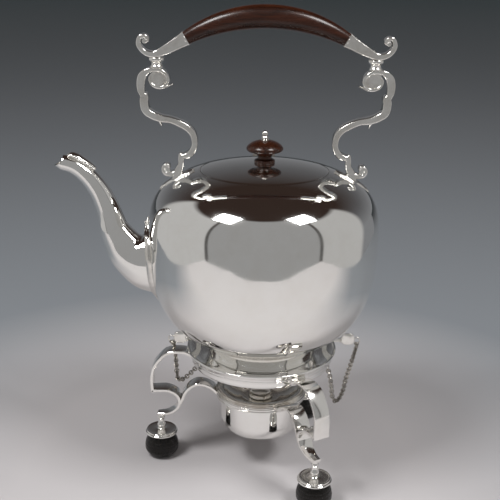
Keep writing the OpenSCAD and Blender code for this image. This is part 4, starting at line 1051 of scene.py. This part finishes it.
lathe("stand_ring_turned", ring, 0.6, 192, body_silver, "stand", "stand_ring")

# %% Legs and braces
FOOT_R, STRAP_W, STRAP_T, STRAP_END = 78.0, 12.5, 2.3, 30.4
LEG_UPPER = [(52.8, 81.4), (57.7, 84.2), (62.4, 84.9), (68.2, 84.7), (73.6, 82.7), (78.3, 78.1), (81.9, 72.9),
             (83.8, 67.7), (84.5, 61.8), (84.3, 56.6), (83.9, 51.7)]
LEG_LOWER = [(85.05, 51.9), (78.2, 52.4), (72.8, 52.3), (68.1, 50.5), (64.6, 47.6), (63.2, 43.7), (63.5, 39.7),
             (65.9, 35.6), (69.6, 32.6), (73.8, 31), (FOOT_R + 2.4, STRAP_END)]
LOWER_TAPER = (0.96, 0.86, 0.76, 0.66, 0.5)
BRACE = [(62.4, 41.5), (60.5, 45.9), (58.7, 50.3), (55.6, 54.1), (52, 56.7), (48.5, 57.9), (43.2, 57.2),
         (39.2, 55.4), (36.6, 53.3), (34.2, 50.6)]
LEGS = (("left", 180), ("front", 300), ("rear", 420))


def strap(path, angle, taper=()):
    """A flat strap along (x, z) points, turned about the axis; taper narrows its last stations."""
    shares = [1] * (len(path) - len(taper)) + list(taper)
    rows = [(x, z, STRAP_T / 2, STRAP_W / 2 * share) for (x, z), share in zip(path, shares)]
    return rotated(swept(smooth_path(rows, 8), strap_section), angle)


for name, angle in LEGS:
    leg_parts = strap(LEG_UPPER, angle), strap(LEG_LOWER, angle, LOWER_TAPER)
    dress(piece(f"leg_{name}_strap", *leg_parts, sharp=25), strap_silver, "stand", f"leg_{name}")
    brace = strap(BRACE, angle)
    dress(piece(f"brace_{name}_strap", brace, sharp=25), strap_silver, "stand", f"brace_{name}")

# %% Feet: silver caps on black buns
BUN_R, BUN_H = 13.2, 19.5
CAP_RIM = BUN_R - 0.5
foot_cap = [(0, 0), (CAP_RIM - 0.5, 0), (CAP_RIM, 0.4), (CAP_RIM, 1.1), (CAP_RIM - 0.6, 1.6),
            (CAP_RIM - 1.1, 1.8), (CAP_RIM - 0.8, 2.2), (CAP_RIM - 1, 2.8), (CAP_RIM - 1.7, 3.1),
            (CAP_RIM - 2.3, 2.8), (7, 2.6), (3.6, 2.9), (2.5, 3.8), (2.9, 4.6), (3.4, 5.8), (3.3, 7),
            (2.7, 8.2), (2.2, 9.6), (1.9, 11.4), (2.5, 12), (2.9, 12.9), (2.6, 13.7), (2.1, 14.3), (2.2, 15.35),
            (0, 15.35)]


def bun_outline(lines=6):
    """The bun's round side with fine lines scribed round it on the lathe."""
    middle = BUN_H * 0.425
    rows = [(2.8, 0)]
    for z in np.linspace(0, BUN_H, 120):
        if z < middle:
            r = BUN_R * (1 - ((middle - z) / (middle * 1.06)) ** 2.4) ** (1 / 2.4)
        else:
            r = BUN_R * (1 - ((z - middle) / (BUN_H * 0.74)) ** 2) ** 0.5
        step = z / BUN_H * lines - 1 / 3
        r -= 0.22 * math.exp(-(((step - round(step)) / 0.09) ** 2)) if 0.2 < z < BUN_H - 0.6 else 0
        rows.append((r, z))
    return rows + [(1.6, BUN_H)]


for name, angle in LEGS:
    place = (FOOT_R * math.cos(math.radians(angle)), FOOT_R * math.sin(math.radians(angle)))
    cap_part = moved(turned(soften(foot_cap, 0.6), 72), place[0], place[1], BUN_H - BASE_Z)
    dress(piece(f"foot_cap_{name}_turned", cap_part), strap_silver, "stand", f"foot_cap_{name}")
    bun = moved(turned(bun_outline(), 96), place[0], place[1], -BASE_Z)
    dress(piece(f"bun_{name}_turned", bun), black_wood, "stand", f"bun_{name}", slot="ebony")

# %% [markdown]
# ## The burner
#
# The burner drops into its holder and rests there on its rim. Its bowl was spun, and its mouth has
# a dished plate with a tube for the wick and a small cap that puts the flame out.

# %% Holder and burner
BURNER_R, RIM_R, HOLDER_Z, HOLDER_H, BURNER_Z, BORE = 31.0, 34.9, 48.8, 4.6, 19.5, 31.3
RIM_Z = HOLDER_Z + HOLDER_H + 0.1
holder = raised(HOLDER_Z, [(BORE, 0), (RIM_R - 1, 0), (RIM_R + 0.1, 0.5), (RIM_R + 0.1, 1.3),
                        (RIM_R - 0.4, 1.7), (RIM_R + 0.3, 2.2), (RIM_R + 0.3, 3.3), (RIM_R - 0.4, 3.7),
                        (RIM_R, 4.1), (RIM_R, HOLDER_H), (BORE, HOLDER_H)])
lathe("burner_holder_turned", holder, 0.4, 144, strap_silver, "stand", "burner_holder")
ROUND, BURNER_WALL = 13.0, 1.1


def round_corner(r):
    """A quarter circle of radius r from the burner's base up to its side."""
    angles = np.linspace(0, math.pi / 2, 25)
    return [(BURNER_R - ROUND + r * math.sin(a), BURNER_Z + ROUND - r * math.cos(a)) for a in angles]


mouth = [(BURNER_R, RIM_Z + 0.6), (BURNER_R - BURNER_WALL, RIM_Z + 0.6)]
inner_corner = round_corner(ROUND - BURNER_WALL)[::-1]
burner = [(0, BURNER_Z)] + round_corner(ROUND) + mouth + inner_corner + [(0, BURNER_Z + BURNER_WALL)]
dress(piece("burner_bowl_spun", turned(burner, 160)), body_silver, "burner", "burner_bowl")
rim = raised(RIM_Z, [(BURNER_R, 0), (RIM_R - 0.3, 0), (RIM_R, 0.5), (RIM_R - 0.1, 1.1), (RIM_R - 0.7, 1.4),
    (RIM_R - 0.5, 2), (RIM_R - 1, 2.6), (RIM_R - 1.7, 2.8), (BURNER_R - 1.2, 2.3), (BURNER_R - 2, 1.2),
    (BURNER_R - 1.8, 0.6), (BURNER_R, 0.6)])
lathe("burner_rim_turned", rim, 0.4, 160, burner_silver, "burner", "burner_rim")

# %% Plate, wick tube, wick and snuffer
PLATE_Z, TUBE_R, SNUFFER_R = 46.6, 6.0, 9.3
dish = [(BURNER_R - 2.1, RIM_Z + 1.2), (BURNER_R - 7, 51.4), (BURNER_R - 14, 48.4),
        (SNUFFER_R + 4, PLATE_Z + 0.5), (TUBE_R, PLATE_Z)]
dish_curve = [tuple(q) for q in smooth_path(dish, 6)]
dish_under = [(r, z - 0.9) for r, z in reversed(dish_curve)]
dress(piece("burner_plate_spun", turned(dish_curve + dish_under, 144)), burner_silver, "burner", "burner_plate")
tube = raised(PLATE_Z, [(TUBE_R - 0.8, -8), (TUBE_R, -8), (TUBE_R, 3.4), (TUBE_R - 0.8, 3.4)])
lathe("wick_tube_drawn", tube, 0.25, 72, cast_silver, "burner", "wick_tube")
WICK_R = TUBE_R - 0.8
wick = [(0, BURNER_Z + 3.1), (WICK_R, BURNER_Z + 3.1), (WICK_R, PLATE_Z + 3.6), (WICK_R - 0.9, PLATE_Z + 4.1),
        (0, PLATE_Z + 4.2)]
lathe("wick_plait", wick, 0.5, 64, wick_cotton, "burner", "wick", slot="cotton")
lid_h = 6.6
snuffer = raised(PLATE_Z, [(SNUFFER_R - 1, 0.5), (SNUFFER_R, 0.5), (SNUFFER_R, 1.7), (SNUFFER_R - 0.4, 2.1),
    (SNUFFER_R - 0.4, lid_h - 1), (SNUFFER_R - 1.2, lid_h - 0.2), (4, lid_h + 0.3), (0, lid_h + 0.4),
    (0, lid_h - 0.8), (SNUFFER_R - 2, lid_h - 1.3), (SNUFFER_R - 1.4, lid_h - 2)])
lathe("snuffer_spun", snuffer, 0.35, 96, cast_silver, "snuffer", "snuffer_cap")

# %% [markdown]
# ## Pins and their chains
#
# Two pins pass through small bosses on the stand's ring into the kettle's collar, and lock it in
# the stand. Each has a flat thumb plate with a loop, and a fine chain keeps it from being lost.
# A chain is one link repeated along a hanging curve, each turned a quarter from the last, which is
# what instances in Geometry Nodes are for.

# %% Bosses and pins
PIN_R, PIN_Z, PIN_TIP, PIN_LEN, BOSS_X, BOSS_LEN, BOSS_R = 1.5, 94.4, 42.6, 15.0, 45.6, 5.2, 3.1
THUMB_W, THUMB_H, THUMB_T, LOOP_R, LOOP_WIRE = 9.6, 9.2, 1.4, 2.3, 0.45
THUMB_Z = RING_TOP + 0.6
LOOP_X = PIN_TIP + PIN_LEN + THUMB_W + LOOP_R - 0.5


def along_x(part, x):
    """A part turned about Z laid along X at the pins' height."""
    return moved(rotated(part, 90, "Y"), x, 0, PIN_Z)


def wire_ring(r, wire, steps=48, sides=14):
    """A ring of round wire in the XZ plane."""
    circle = [(r + wire * math.cos(a), wire * math.sin(a)) for a in np.arange(sides) * 2 * math.pi / sides]
    return rotated(turned(circle, steps), 90, "X")


def thumb_plate():
    """A cushioned square plate with rounded edges, standing upright along X."""
    # Each row is a depth below the face and how far the outline shrinks there.
    edge = [(0, 0.45), (0.12, 0.15), (0.4, 0)]
    slices = [(depth - THUMB_T / 2, inset) for depth, inset in edge]
    slices += [(THUMB_T / 2 - depth, inset) for depth, inset in reversed(edge)]
    n = 64
    cushion = cast_section(0.6, n, 0)
    points, faces = [], [list(range(n)), list(range((len(slices) - 1) * n, len(slices) * n))[::-1]]
    for y, inset in slices:
        for across, up in cushion:
            x = THUMB_W / 2 + (THUMB_W / 2 - inset) * across
            points.append((x, y, THUMB_H / 2 + (THUMB_H / 2 - inset) * up))
    for i in range(0, (len(slices) - 1) * n, n):
        for k in range(n):
            j = (k + 1) % n
            faces.append([i + k, i + n + k, i + n + j, i + j])
    return np.array(points), faces


def lock_pin(x):
    shank = soften([(0, 0), (PIN_R - 0.4, 0), (PIN_R, 1), (PIN_R, PIN_LEN - 1.6), (PIN_R + 0.8, PIN_LEN - 1.2),
                    (PIN_R + 0.8, PIN_LEN), (0, PIN_LEN)], 0.35)
    return [along_x(turned(shank, 48), x), moved(thumb_plate(), x + PIN_LEN - 0.2, 0, THUMB_Z),
            moved(wire_ring(LOOP_R, LOOP_WIRE), x - PIN_TIP + LOOP_X, 0, PIN_Z)]


half_boss = [(PIN_R + 0.08, 0), (BOSS_R - 0.3, 0), (BOSS_R, 0.6), (BOSS_R - 0.7, 1.4)]
boss = soften(half_boss + [(r, BOSS_LEN - h) for r, h in reversed(half_boss)], 0.35)
boss_foot = box_part(BOSS_X + 0.9, BOSS_X + BOSS_LEN - 0.9, -1.9, 1.9, SEAT_Z + 0.3, PIN_Z - 2)
boss_parts = [along_x(turned(boss, 56), BOSS_X), boss_foot]
dress(piece("pin_boss_right_turned", *boss_parts), cast_silver, "stand", "pin_boss_right")
dress(piece("pin_boss_left_turned", *[mirrored(p) for p in boss_parts]), cast_silver, "stand", "pin_boss_left")
dress(piece("pin_right_filed", *lock_pin(PIN_TIP + 4)), cast_silver, "right_pin", "pin_right")
dress(piece("pin_left_filed", *[mirrored(p) for p in lock_pin(PIN_TIP)]), cast_silver, "left_pin", "pin_left")

# %% The tree that strings links along a curve
def chain_tree():
    """Round links along a curve, each a quarter turned from the one before."""
    size, add, calc, close = geometry_tree("jointed_links", [
        ("Geometry", "Geometry", None), ("Link radius", "Float", 0.0015), ("Wire", "Float", 0.00056),
        ("Links", "Int", 30)])
    curve = add("GeometryNodeMeshToCurve", {"Mesh": size["Geometry"]})
    even = add("GeometryNodeResampleCurve", {"Curve": curve.outputs[0], "Count": size["Links"]})
    tangent = add("GeometryNodeInputTangent")
    facing = add("FunctionNodeAlignRotationToVector", {"Vector": tangent.outputs[0]}, axis="Z")
    odd = calc("MODULO", add("GeometryNodeInputIndex").outputs[0], 2.0)
    quarter = add("ShaderNodeCombineXYZ", {"Z": calc("MULTIPLY", odd, math.pi / 2)})
    turned_by = add("FunctionNodeRotateRotation", {"Rotation": facing.outputs[0],
                                                   "Rotate By": quarter.outputs[0]}, rotation_space="LOCAL")

    def circle(points, radius):
        return add("GeometryNodeCurvePrimitiveCircle", {"Resolution": points, "Radius": radius}).outputs[0]

    ring = add("GeometryNodeCurveToMesh", {"Curve": circle(20, size["Link radius"]),
                                           "Profile Curve": circle(8, size["Wire"])})
    upright = add("GeometryNodeTransform", {"Geometry": ring.outputs[0], "Rotation": (math.pi / 2, 0, 0),
                                            "Scale": (1, 1, 1.12)})
    links = add("GeometryNodeInstanceOnPoints", {"Points": even.outputs[0], "Instance": upright.outputs[0],
                                                 "Rotation": turned_by.outputs[0]})
    return close(links.outputs[0])


CHAIN = chain_tree()
LINK_R, LINK_WIRE, LINK_PITCH = 1.55, 0.42, 2.14  # the measured links, which the hanging heights allow for
EYE_R, EYE_ANGLE = 51.8, math.radians(35)
EYE_X, EYE_Y = EYE_R * math.cos(EYE_ANGLE), EYE_R * math.sin(EYE_ANGLE)
EYE_Z = RING_BOTTOM - 1.2
HANG_Z, LOOP_HANG = EYE_Z - 2.2 - 0.6 - LINK_R - LINK_WIRE - 0.15, PIN_Z - LOOP_R - 0.62
LEFT_ROUTE = [(-LOOP_X, 0, LOOP_HANG), (-68.8, 2.8, 89.3), (-68.2, 6.6, 88.5), (-67.6, 9.4, 84.5),
              (-67, 10, 76), (-66.4, 10.2, 66), (-65.6, 10.6, 55.5), (-63, 13.5, 52.6), (-57, 18, 55),
              (-48, 25, 63), (-EYE_X, EYE_Y, HANG_Z)]
RIGHT_ROUTE = [(LOOP_X + 4, 0, LOOP_HANG), (LOOP_X + 4, 1.6, LOOP_HANG - 3.6), (71, 7, 74), (67.4, 11.5, 56),
               (66, 13.5, 45.5), (63.6, 15.6, 37), (60.8, 18, 32.8), (58.2, 19.8, 36), (57.2, 20.6, 44),
               (55.4, 22, 54), (51.5, 25, 64), (EYE_X, EYE_Y, HANG_Z)]


def chain(name, route, node):
    """One chain, hung along its route from its pin's loop at one end to the stand at the other."""
    line = smooth_path(route, 8)
    length = np.linalg.norm(np.diff(line, axis=0), axis=1).sum()
    count = int(length // LINK_PITCH) + 1
    mesh = bpy.data.meshes.new(name + "_line")
    places = ((line + (AXIS_X, 0, BASE_Z)) * MM).tolist()
    mesh.from_pydata(places, [(i, i + 1) for i in range(len(line) - 1)], [])
    made = grown(name, CHAIN, {"Links": count, "Finish": chain_silver}, mesh)
    made.data.materials.clear()
    made.data.materials.append(chain_silver)
    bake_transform(made)
    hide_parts(node)
    print(f"{name}: {count} links over {length:.0f} mm")
    return made


chain("chain_left_links", LEFT_ROUTE, "chain_left")
chain("chain_right_links", RIGHT_ROUTE, "chain_right")

# %% [markdown]
# The small pieces that are left keep their measured solids, which are fine enough at their size:
# the hinge, its pin, the nut inside the lid, the seat ring, the rivets, the chain eyes and the
# screws under the feet. They only get the finish of the piece that each is fixed to.

# %% Finishes for the small solids
SMALL_SOLIDS = {inside_silver: ["lid_seat"],
                cast_silver: ["hinge_leaves", "hinge_pin", "lid_knuckle", "finial_nut", "grip_rivets"],
                chain_silver: ["chain_eye_left", "chain_eye_right", "foot_screws"]}
for finish, node in [(finish, node) for finish, nodes in SMALL_SOLIDS.items() for node in nodes]:
    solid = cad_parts[node]
    solid.data.materials.clear()
    solid.data.materials.append(finish)
    print(node, "wears", finish.name)

# %% [markdown]
# ## Light and room
#
# A mirror shows whatever stands round it, so the room matters as much as the lamps. Two square
# soft lamps hang high in front, left and right, as their two small reflections on the shoulder of
# the real kettle show. The room is a soft sky: mid grey in front, paler at the sides, dark
# overhead and behind, with a pale floor whose colour is painted brightest round the kettle and darker further
# out, a painted pool of light.

# %% Lamps

LAMP_SIZE, LAMP_AIM = 0.42, (0.03, 0, 0.1)


def soft_lamp(name, place, power):
    """A square lamp at place in metres that faces the kettle, with its power in watts."""
    data = bpy.data.lights.new(name, "AREA")
    data.size = LAMP_SIZE
    data.energy = power
    lamp = in_scene(name, data)
    turn = (Vector(place) - Vector(LAMP_AIM)).to_track_quat("Z", "Y")
    lamp.matrix_world = Matrix.Translation(place) @ turn.to_matrix().to_4x4()
    return lamp


soft_lamp("left_lamp", (-0.62, -0.47, 1.35), 12.5)
soft_lamp("right_lamp", (0.7, -0.46, 1.35), 11)

# %% Floor
floor_mesh = bpy.data.meshes.new("floor")
floor_edge = [(-0.54, -0.4), (-0.28, -0.53), (0.03, -0.56), (0.35, -0.52), (0.6, -0.43), (0.61, 0.1),
              (0.66, 0.6), (40, 40), (-40, 40), (-0.62, 0.6), (-0.55, 0.1)]
floor_mesh.from_pydata([(x, y, 0) for x, y in floor_edge], [], [tuple(range(len(floor_edge)))])
floor = in_scene("floor", floor_mesh)
floor_paint_with_light_pool, tree, paint, _ = new_material("floor_paint_with_light_pool", {"Roughness": 0.65, "Specular IOR Level": 0.2})
x, y, z = split(tree, "ShaderNodeTexCoord", "Object")
back = maths(tree, "MAXIMUM", y, 0)
squares = maths(tree, "ADD", maths(tree, "MULTIPLY", x, x), maths(tree, "MULTIPLY", back, back))
away = maths(tree, "SQRT", squares)
# Painted pool of light: the floor's colour is palest in front of and round the kettle, slightly paler still
# nearest the front, and darkens with distance, standing in for the lamps' falloff.
painted_light_front = mixed(tree, ranged(tree, y, -0.16, -0.04), (0.63, 0.61, 0.61), (0.56, 0.535, 0.54))
painted_light_pool = mixed(tree, ranged(tree, away, 0.15, 0.37), painted_light_front, (0.272, 0.291, 0.314))
painted_light_pool = mixed(tree, ranged(tree, y, 0.0, -0.2), painted_light_pool, painted_light_front)
# Further out the colour darkens more: painted falloff of light.
floor_tone_with_painted_light = mixed(tree, ranged(tree, away, 1.6, 6.5), painted_light_pool, (0.155, 0.2, 0.216))
tree.links.new(floor_tone_with_painted_light, paint.inputs["Base Color"])
floor_mesh.materials.append(floor_paint_with_light_pool)

# %% Room
world = bpy.data.worlds.new("room")
bpy.context.scene.world = world
world.use_nodes = True
tree = world.node_tree
sky = tree.nodes["Background"]
x, y, z = split(tree, "ShaderNodeTexCoord", "Generated")
around = maths(tree, "ARCTAN2", x, maths(tree, "MULTIPLY", y, -1))
left_panel = maths(tree, "MULTIPLY", ranged(tree, around, -1.0, -1.03), ranged(tree, around, -2.3, -2.2))
right_panel = maths(tree, "MULTIPLY", ranged(tree, around, 1.0, 1.03), ranged(tree, around, 2.0, 1.9))
side_reach = ranged(tree, z, 0.76, 0.7)
front_panel = ranged(tree, maths(tree, "ABSOLUTE", around), 0.97, 0.94)
front_panel = maths(tree, "MULTIPLY", front_panel, ranged(tree, z, 0.9, 0.87))
behind = ranged(tree, y, -0.1, 0.3)
low = ranged(tree, z, 0.7, 0.35)
lower = ranged(tree, z, 0.35, 0.0)
wall_colour = mixed(tree, behind, (0.09, 0.088, 0.085), (0.1, 0.1, 0.105))
room_colour = mixed(tree, low, (0.032, 0.021, 0.017), wall_colour)
room_colour = mixed(tree, maths(tree, "MULTIPLY", lower, behind), room_colour, (0.2, 0.205, 0.215))
room_colour = mixed(tree, front_panel, room_colour, (0.295, 0.295, 0.295))
for panel, colour in ((left_panel, (0.47, 0.465, 0.46)), (right_panel, (0.43, 0.425, 0.42))):
    room_colour = mixed(tree, maths(tree, "MULTIPLY", panel, side_reach), room_colour, colour)
tree.links.new(room_colour, sky.inputs["Color"])
sky.inputs["Strength"].default_value = 1.0
bpy.context.scene.view_settings.view_transform = "Standard"
